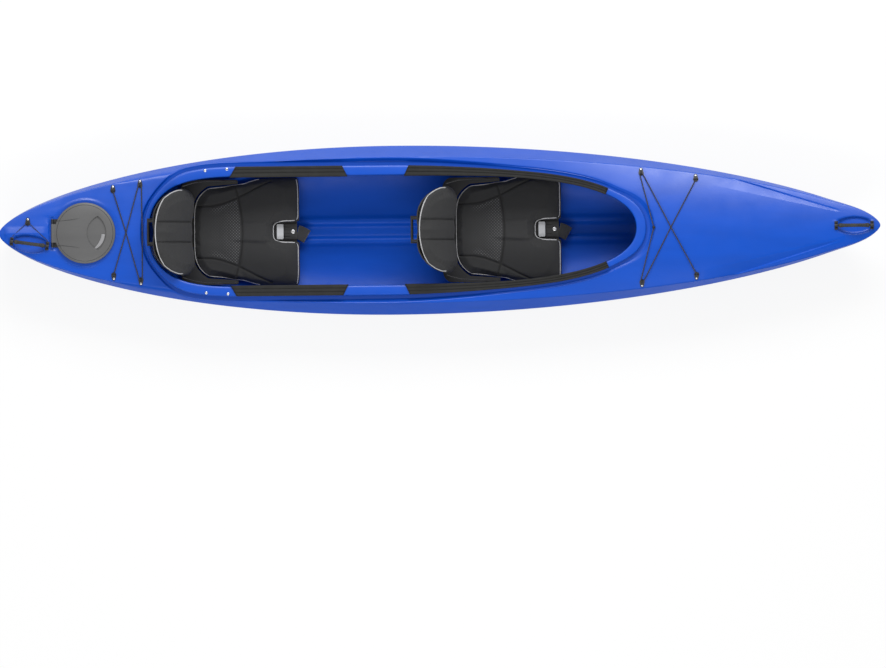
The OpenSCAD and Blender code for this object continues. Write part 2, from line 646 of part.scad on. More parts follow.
bow_route = [
  hook_end(bow_hook_at, 1), loop_at(bow_hook_at, 1, 0, in_eye), [bow_cross, 0, lie],
  loop_at(bow_eye_at, -1, 7, in_eye), loop_at(bow_eye_at, -1, -7, in_eye), [bead_at[0], 0, bead_r + 0.4],
  loop_at(bow_eye_at, 1, -7, in_eye), loop_at(bow_eye_at, 1, 7, in_eye),
  [bow_cross, 0, over], loop_at(bow_hook_at, -1, 0, in_eye), hook_end(bow_hook_at, -1)];
module stern_bungee() { color(BLACK) tube(deck_path(stern_route, 5), bungee_d / 2, 8); }
module bow_bungee() { color(BLACK) tube(deck_path(bow_route, 5), bungee_d / 2, 8); }
module bow_bungee_bead() {
  color(BLACK) translate([bead_at[0], 0, deck_z(bead_at[0], 0) + bead_r + 0.4]) rotate([90, 0, 0]) difference() {
    rotate_extrude($fn = 40) polygon([[0, -6], [5, -6], [bead_r, -3], [bead_r, 3], [5, 6], [0, 6]]);
    cylinder(r = bungee_d / 2 + 1.6, h = 40, center = true, $fn = 32);
  }
}
// Keeper cord: a V from its hook to the two anchors of the stern handle
module keeper_cord() {
  ends = [for (e = stern_ends) e[0] + (anchor_w / 2 + 1.5 + keeper_d / 2) * [-sin(e[1]), cos(e[1])]];
  h = keeper_d / 2 + 3;
  color(BLACK) tube(deck_path([
    [ends[0][0], ends[0][1], h], [keeper_at[0] - 6, keeper_at[1] - loop_in, foot_t + keeper_d / 2 + 1.2],
    [keeper_at[0] + 6, keeper_at[1] - loop_in, foot_t + keeper_d / 2 + 1.2], [ends[1][0], ends[1][1], h]], 5),
    keeper_d / 2, 8);
}

// Ribbed pads on the coaming: three grooves, and a lip turned down into the cockpit
pad_gap = 0.6;
module coaming_pad(x0, x1, slant0, slant1, s) {
  xs = concat([x0], [for (p = line_y) if (p[0] > x0 + 8 && p[0] < x1 - 8) p[0]], [x1]);
  w = rim_width - 1;
  groove = 2;
  top = pad_t + pad_gap;
  ribs = [for (c = [0.74, 0.5, 0.26], e = [[2.5, 0], [1.5, -groove], [-1.5, -groove], [-2.5, 0]])
    [w * c + e[0], top + e[1]]];
  profile = concat([[-pad_gap, pad_gap], [w, pad_gap], [w, top - 1.5], [w - 1.5, top]], ribs,
    [[-3, top], [-5, top - 2], [-5, -20], [-pad_gap, -20]]);
  color(BLACK) mirror([0, s < 0 ? 1 : 0, 0]) skin([for (i = [0:len(xs) - 1])
    [for (p = profile) let (
      shift = (i == 0 ? slant0 : i == len(xs) - 1 ? slant1 : 0) * p[0] / rim_width,
      q = rim_point(xs[i], p[0], p[1])) [q[0] + shift, q[1], q[2]]]]);
}
rear_pad_x = [in_cockpit(0.1672), in_cockpit(0.4076)];
front_pad_x = [in_cockpit(0.5249), in_cockpit(0.9382)];
module rear_port_pad() { coaming_pad(rear_pad_x[0], rear_pad_x[1], 27, -23, 1); }
module rear_starboard_pad() { coaming_pad(rear_pad_x[0], rear_pad_x[1], 27, -23, -1); }
module front_port_pad() { coaming_pad(front_pad_x[0], front_pad_x[1], 21, 0, 1); }
module front_starboard_pad() { coaming_pad(front_pad_x[0], front_pad_x[1], 21, 0, -1); }
module coaming_screws() {
  color(SILVER) for (x = coaming_screw_x, s = both_sides) let (p = rim_point(x, coaming_screw_out, 0.2))
    translate([p[0], p[1] * s, p[2]]) screw(6.5, 3, 13);
}

// Foot braces
rail_half = rail_bolt_gap / 2 + 16;
module foot_rail(k, s) {
  color(BLACK) on_wall(k, s) difference() {
    union() {
      translate([-rail_half, -standoff - rail_t, -rail_h / 2]) cube([2 * rail_half, rail_t, rail_h]);
      for (e = [-1, 1]) translate([e * rail_bolt_gap / 2, -standoff_gap, 0]) rotate([90, 0, 0])
        cylinder(r = 7, h = standoff, $fn = 32);
    }
    for (i = [-7:7]) translate([i * 20 - 4, -standoff - rail_t - 1, -rail_h / 2 - 1]) cube([8, rail_t + 2, 5]);
    for (e = [-1, 1]) translate([e * rail_bolt_gap / 2, 0, 0]) rotate([90, 0, 0])
      cylinder(r = rail_bolt_r + 0.3, h = 80, center = true, $fn = 32);
  }
}
// Carriage round the rail with the foot plate on its inboard side
module foot_pedal(k, s) {
  carriage = 64;
  face = -standoff - rail_t - slide_gap;
  grip = rail_h / 2 + slide_gap;
  color(CHARCOAL) on_wall(k, s) {
    rotate([90, 0, 90]) translate([0, 0, -carriage / 2]) linear_extrude(carriage) polygon([
      [face, -grip], [-standoff - 1, -grip], [-standoff - 1, -grip - 5], [face - 7, -grip - 5],
      [face - 7, grip + 5], [-standoff - 1, grip + 5], [-standoff - 1, grip], [face, grip]]);
    rotate([90, 0, 90]) translate([0, 0, -7]) linear_extrude(14) hull()
      for (y = [face - 6 - 10, face - 7 - pedal_reach + 10], z = [-1, 1])
        translate([y, z * (pedal_height / 2 - 10)]) circle(r = 10, $fn = 32);
  }
}
module rail_bolts() {
  reach = standoff + rail_t - 2;
  color(SILVER) for (k = [0:2], s = both_sides) rail_bolt_places(k, s) {
    head = skin_t(k) + 0.8;
    translate([0, 0, -head]) cylinder(r = rail_bolt_r, h = reach + head, $fn = 24);
    translate([0, 0, -head]) rotate([180, 0, 0]) dome(7.5, 3);
  }
}

// Seats: everything is measured from the rear edge of the cushion, on the centreline
runner_low = ridge_top + 0.4;
pan_low = 56;
pan_t = 8;
pan_top = pan_low + pan_t;
back_hinge = [-105, 140];
post_deep = 38;
// The rear post, where it passes the coaming, stands clear of it
post_reach = tan(back_lean) * (rim_z(cockpit_aft) - back_hinge[1]) + post_deep / 2 / cos(back_lean);
rear_seat_x = round(cockpit_aft - back_hinge[0] + post_reach + back_room);
back_pin_r = 5;
ear_r = 14;
ear_t = 8;
ear_y = 63;
post_y = 51.5;
post_w = 11;
// Raised rim round the rear and the sides of the cushion, with a tab on each side for the strap
seat_rim_out = 245;
seat_rim_low = 93;
seat_rim_t = 6;
seat_rim_back = -57;
seat_rim_front = 210;
rim_corner_r = 45;
rim_clear = 4;
strap_tab_x = [150, 200];
strap_tab_y = 238.5;
strap_tab_t = 5;
strap_tab_h = 34;
module at_seat(x) {
  translate([x, 0, 0]) children();
}
module seat_rim() {
  translate([0, 0, seat_rim_low]) linear_extrude(seat_rim_t) difference() {
    hull() for (s = both_sides) {
      translate([seat_rim_back + rim_corner_r, s * (seat_rim_out - rim_corner_r)]) circle(r = rim_corner_r, $fn = 40);
      translate([seat_rim_front - 10, s * (seat_rim_out - 10)]) circle(r = 10, $fn = 32);
    }
    offset(delta = rim_clear) polygon(concat([[seat_rim_front, -cushion_half(seat_rim_front)]],
      [for (v = cushion_vs) [cushion_x(0, v), v * cushion_half(cushion_x(0, v))]],
      [[seat_rim_front, cushion_half(seat_rim_front)]]));
  }
  // Wall and webs from the pan up to the rim, behind the cushion
  translate([seat_rim_back + 7, -ear_y, pan_low]) cube([8, 2 * ear_y, seat_rim_low - pan_low + 1]);
  for (s = both_sides) hull() {
    translate([seat_rim_back + 10, s * 85 - 20, pan_low]) cube([36, 40, pan_t]);
    translate([seat_rim_back + 10, s * 190 - 20, seat_rim_low]) cube([36, 40, seat_rim_t]);
  }
  for (s = both_sides) translate([strap_tab_x[0], s * (strap_tab_y + strap_tab_t / 2) - strap_tab_t / 2, seat_rim_low])
    cube([strap_tab_x[1] - strap_tab_x[0], strap_tab_t, strap_tab_h]);
}
module seat_ear(s) {
  hull() {
    translate([back_hinge[0], s * ear_y, back_hinge[1]]) rotate([90, 0, 0])
      cylinder(r = ear_r, h = ear_t, center = true, $fn = 32);
    translate([back_hinge[0] - 18, s * ear_y - ear_t / 2, pan_low]) cube([66, ear_t, pan_t]);
  }
}
module seat_base(x) {
  color(BLACK) at_seat(x) difference() {
    union() {
      translate([0, 0, pan_low]) linear_extrude(pan_t) hull() {
        for (s = both_sides) {
          translate([45, s * 115]) circle(r = 45, $fn = 32);
          translate([seat_length - 53, s * 182]) circle(r = 40, $fn = 32);
        }
      }
      translate([back_hinge[0] - 18, -ear_y - ear_t / 2, pan_low]) cube([180, 2 * ear_y + ear_t, pan_t]);
      for (s = both_sides) {
        translate([20, s * (ridge_in + ridge_out) / 2 - 14, runner_low]) cube([450, 28, pan_low - runner_low + 1]);
        seat_ear(s);
      }
      seat_rim();
    }
    translate([back_hinge[0], 0, back_hinge[1]]) rotate([90, 0, 0])
      cylinder(r = back_pin_r + hinge_gap / 3, h = 200, center = true, $fn = 32);
  }
}

// Closed slab between two grids of points
module slab(front, back) {
  rows = len(front);
  cols = len(front[0]);
  n = rows * cols;
  function at(i, j) = i * cols + j;
  face = [for (i = [0:rows - 2], j = [0:cols - 2], q = [
      [at(i, j), at(i, j + 1), at(i + 1, j + 1)], [at(i, j), at(i + 1, j + 1), at(i + 1, j)]]) q];
  rim = concat([for (j = [0:cols - 1]) at(0, j)], [for (i = [1:rows - 1]) at(i, cols - 1)],
    [for (j = [cols - 2:-1:0]) at(rows - 1, j)], [for (i = [rows - 2:-1:1]) at(i, 0)]);
  m = len(rim);
  edge = [for (k = [0:m - 1], q = [
      [rim[k], rim[k] + n, rim[(k + 1) % m] + n], [rim[k], rim[(k + 1) % m] + n, rim[(k + 1) % m]]]) q];
  polyhedron(concat([for (r = front, p = r) p], [for (r = back, p = r) p]),
    concat(face, [for (f = face) [f[2] + n, f[1] + n, f[0] + n]], edge), convexity = 6);
}

// Cushion: crowned, wider under the thighs, with a knee channel and a notch in the middle of its front
cushion_low = pan_top + 0.5;
notch_v = 0.19;
notch_depth = 120;
cushion_v = [0, 0.1, notch_v - 0.02, notch_v + 0.015, 0.3, 0.42, 0.55, 0.68, 0.8, 0.9, 0.96, 1];
cushion_vs = concat([for (i = [len(cushion_v) - 1:-1:1]) -cushion_v[i]], cushion_v);
cushion_us = [0, 0.03, 0.1, 0.2, 0.3, 0.38, 0.42, 0.46, 0.56, 0.68, 0.8, 0.9, 0.97, 1];
function cushion_half(x) = 210 + 10 * smooth((x - 40) / 160) + 30 * smooth((x - 190) / 150);
function cushion_x(u, v) = mix(70 * pow(abs(v), 5),
  seat_length - 10 * pow(abs(v), 12) - (abs(v) < notch_v ? notch_depth : 0), u);
// The sides stand up beside the hips and thin out under the thighs
function cushion_side(u) = smooth((u - 0.3) / 0.3);
function cushion_thick(u, v) =
  (34 - 8 * sin(180 * clamp01(u / 0.6)) + 22 * smooth((u - 0.4) / 0.5) + 18 * pow(abs(v), 4) * (1 - cushion_side(u))
    - (abs(u - 0.42) < 0.01 ? 5 : 0))
  * (1 - 0.6 * max(pow(abs(v), mix(24, 10, cushion_side(u))), pow(abs(2 * u - 1), 30)));
function cushion_point(u, v, top) = let (x = cushion_x(u, v))
  [x, v * cushion_half(x) * (top ? 1 : 0.98), cushion_low + (top ? cushion_thick(u, v) : 0)];
module seat_pad(x) {
  color(CHARCOAL) at_seat(x) slab(
    [for (u = cushion_us) [for (v = cushion_vs) cushion_point(u, v, true)]],
    [for (u = cushion_us) [for (v = cushion_vs) cushion_point(u, v, false)]]);
}

// Back post: two side rails and double bars, leaning back from the hinge
module at_post(x) {
  at_seat(x) translate([back_hinge[0], 0, back_hinge[1]]) rotate([0, -back_lean, 0]) children();
}
module back_post(x) {
  color(BLACK) at_post(x) difference() {
    union() {
      for (s = both_sides) {
        translate([-post_deep / 2, s * post_y - post_w / 2, 0]) cube([post_deep, post_w, post_length]);
        translate([0, s * post_y, 0]) rotate([90, 0, 0])
          cylinder(r = post_deep / 2, h = post_w, center = true, $fn = 40);
      }
      for (z = [70, post_length - 16], e = [-1, 1])
        translate([e * (post_deep / 2 - 3.5) - 3.5, -post_y, z]) cube([7, 2 * post_y, 16]);
    }
    rotate([90, 0, 0]) cylinder(r = back_pin_r + hinge_gap, h = 200, center = true, $fn = 32);
    for (z = [40, 115, 190]) translate([-9, -100, z]) cube([18, 200, 55]);
  }
}
module back_pin(x) {
  color(SILVER) at_seat(x) translate([back_hinge[0], 0, back_hinge[1]]) rotate([90, 0, 0]) {
    cylinder(r = back_pin_r, h = 2 * (ear_y + ear_t / 2 + 3.5), center = true, $fn = 32);
    for (s = both_sides) translate([0, 0, s * (ear_y + ear_t / 2 + 2)]) cylinder(r = 8, h = 3, center = true, $fn = 32);
  }
}

// Back rest: an arched panel that curves round the sitter and leans back more towards its top
back_low = 175;
back_rise = 297;
back_half = cockpit_width / 2 - 50;
back_wrap = 45;
pad_deep = 33;
shell_t = 7;
back_dir = [-0.94, 0, -0.34];
function back_x(z) = let (t = (z - back_low) / 300) -13 - 105 * t - 28 * pow(t, 4);
function back_width(h) = back_half * sqrt(1 - pow(h, 6)) * (1 - 0.3 * pow(1 - h, 8));
function back_point(a, h, depth) = let (z = back_low + back_rise * h)
  [back_x(z) + back_wrap * a * a * back_width(h) / back_half, a * back_width(h), z] + depth * back_dir;
back_hs = [0, 0.03, 0.1, 0.22, 0.36, 0.5, 0.64, 0.76, 0.86, 0.93, 0.965, 0.985];
back_as = [-1, -0.96, -0.86, -0.7, -0.5, -0.26, -0.2, 0, 0.2, 0.26, 0.5, 0.7, 0.86, 0.96, 1];
// The pad is thickest across the small of the back
lumbar = 24;
function pad_front(a, h) =
  24 * max(pow(abs(a), 14), pow(h, 22), pow(1 - h, 16)) + (abs(abs(a) - 0.23) < 0.04 ? 3 : 0)
    - lumbar * (1 - a * a) * (1 - smooth((h - 0.15) / 0.7));
module back_pad(x) {
  color(CHARCOAL) at_seat(x) slab(
    [for (h = back_hs) [for (a = back_as) back_point(-a, h, pad_front(a, h))]],
    [for (h = back_hs) [for (a = back_as) back_point(-a, h, pad_deep)]]);
}
shell_hs = [0.08, 0.2, 0.34, 0.48, 0.62, 0.74, 0.84, 0.91, 0.95];
shell_as = [-0.97, -0.75, -0.5, -0.25, 0, 0.25, 0.5, 0.75, 0.97];
// Bracket plate between the shell and the post, at a height
module shell_bracket(z, s) {
  y = post_y + post_w / 2 + slide_gap;
  t = 6;
  lean = tan(back_lean);
  rear = post_deep / 2 + 5;
  function post_x(q) = back_hinge[0] - (q - back_hinge[1]) * lean;
  function skin_x(q) = back_x(q + 15) + back_wrap * 0.09 - 0.94 * (pad_deep + 4);
  translate([0, s > 0 ? y + t : -y, 0]) rotate([90, 0, 0]) linear_extrude(t) difference() {
    polygon([[skin_x(z), z], [skin_x(z + 46), z + 46], [post_x(z + 34) - rear, z + 34], [post_x(z + 6) - rear, z + 6]]);
    translate([(skin_x(z + 23) + post_x(z + 23)) / 2, z + 22]) circle(r = 8, $fn = 24);
  }
  translate([post_x(z + 20) - rear - 1, -y - t, z + 12]) rotate([0, -back_lean, 0]) cube([4, 2 * (y + t), 16]);
}
module back_shell(x) {
  color(BLACK) at_seat(x) {
    slab([for (h = shell_hs) [for (a = shell_as) back_point(-a, h, pad_deep + 1)]],
      [for (h = shell_hs) [for (a = shell_as) back_point(-a, h, pad_deep + 1 + shell_t)]]);
    for (z = [255, 345], s = both_sides) shell_bracket(z, s);
  }
}

// Straps from beside the back rest out to the coaming and down to the tabs on the seat's rim
strap_w = 25;
strap_t = 2;
strap_in = strap_tab_y - strap_t - seat_gap;
strap_low = seat_rim_low + seat_rim_t + strap_w / 2 + 2;
// The straps pass inside the coaming's wall on their way down
function strap_points(x) = [[-42, back_half + 5, rim_height + 13], [15, cockpit_half(x + 15) - 13, rim_height - 9],
  [70, min(strap_in, cockpit_half(x + 70) - 4), rim_height - 80], [140, strap_in, strap_low + 4],
  [152, strap_in, strap_low], [198, strap_in, strap_low]];
module back_straps(x) {
  color(BLACK) at_seat(x) for (s = both_sides) mirror([0, s < 0 ? 1 : 0, 0])
    skin([for (p = strap_points(x)) [
      [p[0], p[1], p[2] - strap_w / 2], [p[0], p[1] + strap_t, p[2] - strap_w / 2],
      [p[0], p[1] + strap_t, p[2] + strap_w / 2], [p[0], p[1], p[2] + strap_w / 2]]]);
}

// Pieces in the notch of the cushion
bracket_x = seat_length - 72;
module seat_bracket(x) {
  color(BLACK) at_seat(x) difference() {
    translate([bracket_x, -36, pan_top + 0.2]) cube([60, 72, 10]);
    for (y = [-24:16:24]) translate([bracket_x - 1, y - 3, pan_top + 7]) cube([26, 6, 10]);
    translate([bracket_x + 40, 0, pan_top - 5]) cylinder(r = screw_hole_r, h = 40, $fn = 24);
  }
}
module bracket_screw(x) {
  color(SILVER) at_seat(x) translate([bracket_x + 40, 0, pan_top + 10.4]) screw(10, 4, 10);
}
module seat_block(x) {
  color(LIGHT_GREY) at_seat(x) hull() for (dx = [8, 28], y = [-30, 30])
    translate([bracket_x - 38 + dx, y, pan_top + 0.2]) {
      cylinder(r = 7, h = 12, $fn = 24);
      cylinder(r = 5, h = 17, $fn = 24);
    }
}
module pull_strap(x) {
  front = bracket_x + 60.4;
  low = 52;
  color(BLACK) at_seat(x) skin([for (p = [
      [front, 30, -34, pan_top + 4], [front + 14, 34, -42, pan_top + 5],
      [front + 32, 36, -68, pan_top - 2], [front + 46, 34, -80, low]])
    [[p[0], p[2], p[3]], [p[0], p[1], p[3]], [p[0], p[1], p[3] + 3], [p[0], p[2], p[3] + 3]]]);
}

hull_shell();
stern_bulkhead();
hatch_rim();
hatch_gasket();
hatch_lid();
hatch_pull();
hatch_hinge_pin();
bow_handle();
stern_handle();
handle_anchors();
handle_screws();
keeper_hook();
keeper_cord();
bow_bungee();
bow_bungee_bead();
stern_bungee();
deck_eyes();
deck_hooks();
deck_screws();
rear_port_pad();
rear_starboard_pad();
front_port_pad();
front_starboard_pad();
coaming_screws();
rail_bolts();
for (k = [0:2], s = both_sides) {
  name = str(brace_names[k], s > 0 ? "_port" : "_starboard");
  foot_rail(k, s);
  foot_pedal(k, s);
}
for (seat = [["rear", rear_seat_x], ["front", front_seat_x]]) {
  seat_base(seat[1]);
  seat_pad(seat[1]);
  back_post(seat[1]);
  back_pin(seat[1]);
  back_shell(seat[1]);
  back_pad(seat[1]);
  back_straps(seat[1]);
  seat_bracket(seat[1]);
  seat_block(seat[1]);
  pull_strap(seat[1]);
  bracket_screw(seat[1]);
}
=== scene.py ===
"""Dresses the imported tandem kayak: moulded hull, seats, deck cords, handles and hatch."""

from __future__ import annotations

import logging
import math
from abc import ABC, abstractmethod
from bisect import bisect_left, bisect_right
from collections.abc import Callable
from dataclasses import dataclass, field
from enum import Enum

import bmesh
import bpy
from bmesh.types import BMesh, BMVert
from bpy.types import Material, Mesh, Node, NodeSocket, NodeTree, Object
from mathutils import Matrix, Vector
from mathutils.bvhtree import BVHTree


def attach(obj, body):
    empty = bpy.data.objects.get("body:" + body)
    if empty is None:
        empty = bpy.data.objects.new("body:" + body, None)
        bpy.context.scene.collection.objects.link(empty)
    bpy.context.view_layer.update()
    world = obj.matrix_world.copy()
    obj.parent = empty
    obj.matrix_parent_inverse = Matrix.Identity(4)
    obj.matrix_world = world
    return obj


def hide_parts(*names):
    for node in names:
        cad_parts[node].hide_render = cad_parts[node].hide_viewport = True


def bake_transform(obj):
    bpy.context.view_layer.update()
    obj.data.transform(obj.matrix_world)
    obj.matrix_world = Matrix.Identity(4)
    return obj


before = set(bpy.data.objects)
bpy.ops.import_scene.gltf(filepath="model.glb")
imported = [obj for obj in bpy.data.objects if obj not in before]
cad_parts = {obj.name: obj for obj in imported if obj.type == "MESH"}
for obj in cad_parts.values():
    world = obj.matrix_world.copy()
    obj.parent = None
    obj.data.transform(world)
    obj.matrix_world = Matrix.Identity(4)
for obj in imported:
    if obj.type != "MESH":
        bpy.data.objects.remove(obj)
log = logging.getLogger("kayak")
MM = 0.001
WELD = 1e-5
UP = Vector((0, 0, 1))
SIDES = (("port", 1), ("starboard", -1))
# Each handle's middle and its turn in degrees, and how far its anchors stand from the middle.
HANDLES = {"bow": (1928.5, 0.0, 341.788, 0.0), "stern": (-1908.0, -47.0, 334.635, -8.0)}
HANDLE_REACH = 83.5
HATCH_AT = (-1650.0, 0.0)


class Side(Enum):
    """Which end of the cockpit a seat stands in."""

    REAR = "rear"
    FRONT = "front"


class Weave(Enum):
    """How the yarn of a cloth runs: the directions of its two waves."""

    PLAIN = ("X", "Y")
    RIBBED = ("X", "X")
    BRAID = ("DIAGONAL", "Z")


def smooth(t: float) -> float:
    """Smooth step of t between 0 and 1."""
    c = min(1.0, max(0.0, t))
    return c * c * (3 - 2 * c)


def mix(a: float, b: float, t: float) -> float:
    """Value t of the way from a to b."""
    return a + (b - a) * t


def station(x0: float, x1: float, n: int, i: int) -> float:
    """Place i of n along x0 to x1, closer together near both ends."""
    u = 2 * i / n - 1
    s = 1 - (1 - abs(u)) ** 1.4
    return mix(x0, x1, 0.5 + 0.5 * math.copysign(s, u))


class Nodes:
    """Short hand for building a node tree."""

    def __init__(self, tree: NodeTree) -> None:
        """Empties the tree."""
        self.tree = tree
        tree.nodes.clear()

    def feed(self, socket: NodeSocket, value: object) -> None:
        """Links another node's socket to an input, or sets the input's value.

        Args:
            socket: the input.
            value: the other socket, or the value.
        """
        if isinstance(value, NodeSocket):
            self.tree.links.new(value, socket)
        else:
            socket.default_value = value

    def add(self, kind: str, *values: object, **named: object) -> Node:
        """Adds a node and sets its properties and inputs.

        Args:
            kind: the node's type.
            values: its first inputs, in order.
            named: properties, or inputs by name with underscores for spaces.
        Returns:
            The node.
        """
        node = self.tree.nodes.new(kind)
        inputs = list(enumerate(values))
        for key, value in named.items():
            if hasattr(node, key):
                setattr(node, key, value)
            else:
                inputs.append((key.replace("_", " "), value))
        for key, value in inputs:
            self.feed(node.inputs[key], value)
        return node


class Surface(Nodes):
    """Nodes of one material."""

    def __init__(self, name: str) -> None:
        """Makes an empty material of that name."""
        self.material = bpy.data.materials.new(name)
        self.material.use_nodes = True
        super().__init__(self.material.node_tree)
        self.out = self.add("ShaderNodeOutputMaterial").inputs["Surface"]
        self.place = self.add("ShaderNodeTexCoord").outputs["Object"]

    def paint(self, **named: object) -> None:
        """Adds the shader with these inputs."""
        self.feed(self.out, self.add("ShaderNodeBsdfPrincipled", **named).outputs[0])

    def stretch(self, **named: tuple) -> NodeSocket:
        """The object's coordinates, scaled or turned."""
        return self.add("ShaderNodeMapping", self.place, **named).outputs[0]

    def attribute(self, name: str) -> NodeSocket:
        """A value that the piece's mesh carries."""
        return self.add("ShaderNodeAttribute", attribute_name=name).outputs["Fac"]

    def noise(self, scale: float, detail: float = 4.0, vector: NodeSocket | None = None) -> NodeSocket:
        """Noise over the piece, with its scale per metre."""
        return self.add("ShaderNodeTexNoise", Scale=scale, Detail=detail, Vector=vector or self.place).outputs[0]

    def between(
        self, value: NodeSocket, low: float, high: float, start: float = 0.3, end: float = 0.7
    ) -> NodeSocket:
        """Maps a value from start and end to low and high."""
        return self.add("ShaderNodeMapRange", value, start, end, low, high).outputs[0]

    def math(self, operation: str, a: NodeSocket, b: NodeSocket | float) -> NodeSocket:
        """One arithmetic step on two values."""
        return self.add("ShaderNodeMath", a, b, operation=operation).outputs[0]

    def tint(self, factor: NodeSocket, low: tuple | NodeSocket, high: tuple) -> NodeSocket:
        """Colour between low and high by a factor from 0 to 1.

        Args:
            factor: the factor.
            low: colour at 0, or its socket.
            high: colour at 1.
        Returns:
            The colour.
        """
        node = self.add("ShaderNodeMix", factor, data_type="RGBA")
        self.feed(node.inputs[6], low if isinstance(low, NodeSocket) else (*low, 1))
        self.feed(node.inputs[7], (*high, 1))
        return node.outputs[2]

    def bump(self, height: NodeSocket, depth: float, **below: NodeSocket) -> NodeSocket:
        """Bump of a height from 0 to 1, its depth in metres, over another Normal if there is one."""
        return self.add("ShaderNodeBump", Strength=1.0, Distance=depth, Height=height, **below).outputs[0]


@dataclass(frozen=True)
class Finish(ABC):
    """A surface finish. Colours are linear."""

    name: str
    colour: tuple
    roughness: float

    @abstractmethod
    def dress(self, n: Surface) -> None:
        """Paints the material."""

    def shade(self, factor: float) -> tuple:
        """The colour, lighter or darker by a factor."""
        return tuple(min(1.0, c * factor) for c in self.colour)

    def material(self) -> Material:
        """The finish as a material, made once."""
        found = bpy.data.materials.get(self.name)
        if found is None:
            n = Surface(self.name)
            self.dress(n)
            found = n.material
        return found


@dataclass(frozen=True)
class Moulded(Finish):
    """Moulded plastic with a fine pebbled skin and faint flow marks."""

    pebble: float = 0.00012
    grain: float = 650.0
    flow: float = 0.06
    specular: float = 0.5
    has_painted_sheen: bool = False

    def dress(self, n: Surface) -> None:
        """Adds flow marks and pebbling; on a piece with painted sheen, its sheen attribute scales the specular
        level, painting shine where the light falls.
        """
        marks = n.between(n.noise(3.0, 6.0, n.stretch(Scale=(1.0, 5.0, 5.0))), 0, 1)
        pebbles = n.bump(n.noise(self.grain, 2.0), self.pebble)
        # On the hull the specular level follows the painted sheen marked on its mesh.
        shine = n.math("MULTIPLY", n.attribute("painted_sheen"), self.specular) if self.has_painted_sheen else self.specular
        n.paint(
            Base_Color=n.tint(marks, self.shade(1 - self.flow), self.shade(1 + self.flow)),
            Roughness=n.between(n.noise(14.0), self.roughness - 0.05, self.roughness + 0.05),
            Specular_IOR_Level=shine,
            Normal=n.bump(n.noise(7.0, 2.0), 0.0012, Normal=pebbles),
        )


@dataclass(frozen=True)
class Rubber(Finish):
    """Soft rubber or foam with a matt dusty skin."""

    grain: float = 900.0
    specular: float = 0.22

    def dress(self, n: Surface) -> None:
        """Dusts the colour and roughens the skin."""
        dust = n.between(n.noise(25.0, 6.0), 0, 1, 0.45, 0.75)
        n.paint(
            Base_Color=n.tint(dust, self.colour, self.shade(1.5)),
            Roughness=n.between(dust, self.roughness, self.roughness + 0.12, 0, 1),
            Specular_IOR_Level=self.specular,
            Normal=n.bump(n.noise(self.grain, 3.0), 0.0003),
        )


@dataclass(frozen=True)
class Steel(Finish):
    """Stainless steel, turned or brushed."""

    def dress(self, n: Surface) -> None:
        """Adds fine brushing and small stains."""
        brush = n.noise(700.0, 3.0, n.stretch(Scale=(1.0, 9.0, 1.0)))
        n.paint(
            Base_Color=n.tint(n.noise(60.0), self.shade(0.85), self.colour),
            Roughness=n.between(brush, self.roughness - 0.08, self.roughness + 0.12),
            Normal=n.bump(brush, 0.00004),
            Metallic=1.0,
        )


@dataclass(frozen=True)
class Cloth(Finish):
    """Woven cloth; a dotted one shows the piece's dots, and paints shade along its seams from the seam attribute.
    """

    weave: Weave = Weave.PLAIN
    yarn: float = 0.0016
    dotted: bool = False
    sheen: float = 0.25

    def threads(self, n: Surface) -> NodeSocket:
        """Height of the yarns, from 0 to 1.

        Args:
            n: the material's nodes.
        Returns:
            The height.
        """
        scale = 1 / self.yarn / 3.2
        waves = []
        for axis in self.weave.value:
            wave = n.add("ShaderNodeTexWave", n.place, bands_direction=axis, Scale=scale, Distortion=0.6)
            waves.append(wave.outputs[1])
        return n.math("MULTIPLY", n.math("ADD", *waves), 0.5)

    def dress(self, n: Surface) -> None:
        """Weaves the cloth, fades it in patches, prints dots, and paints shade into the seams."""
        height = self.threads(n)
        patch = n.between(n.noise(11.0, 5.0), 0.82, 1.0)
        base = n.tint(n.math("MULTIPLY", height, patch), self.shade(0.65), self.shade(1.35))
        normal = n.bump(height, self.yarn * 0.35)
        if self.dotted:
            turned = n.stretch(Rotation=(0, 0, math.radians(45)))
            lattice = n.add("ShaderNodeTexVoronoi", turned, voronoi_dimensions="2D", Scale=102.0, Randomness=0.0)
            disc = n.between(lattice.outputs["Distance"], 1.0, 0.0, 0.22, 0.36)
            spot = n.math("MULTIPLY", disc, n.attribute("dots"))
            # The seam attribute paints shade into the sewn valleys: the colour darkens to about a fifth there.
            base = n.tint(n.attribute("seam"), n.tint(spot, base, self.shade(4.4)), self.shade(0.22))
            normal = n.bump(spot, 0.0012, Normal=normal)
        n.paint(
            Base_Color=base,
            Roughness=n.between(height, self.roughness, self.roughness + 0.1, 0, 1),
            Normal=normal,
            Sheen_Weight=self.sheen,
            Sheen_Roughness=0.5,
        )


# The hull's shine is painted: its specular level follows a sheen attribute set by which way each face turns.
BLUE = Moulded("hull_blue", (0.0028, 0.067, 0.455), 0.36, pebble=0.00015, grain=420.0, specular=0.36, has_painted_sheen=True)
BLACK = Moulded("moulded_black", (0.011, 0.011, 0.012), 0.5, flow=0.15)
COAT = Moulded("coated_tube", (0.013, 0.013, 0.014), 0.38, flow=0.1, grain=1200.0)
LID = Moulded("lid_grey", (0.09, 0.09, 0.091), 0.5, flow=0.08)
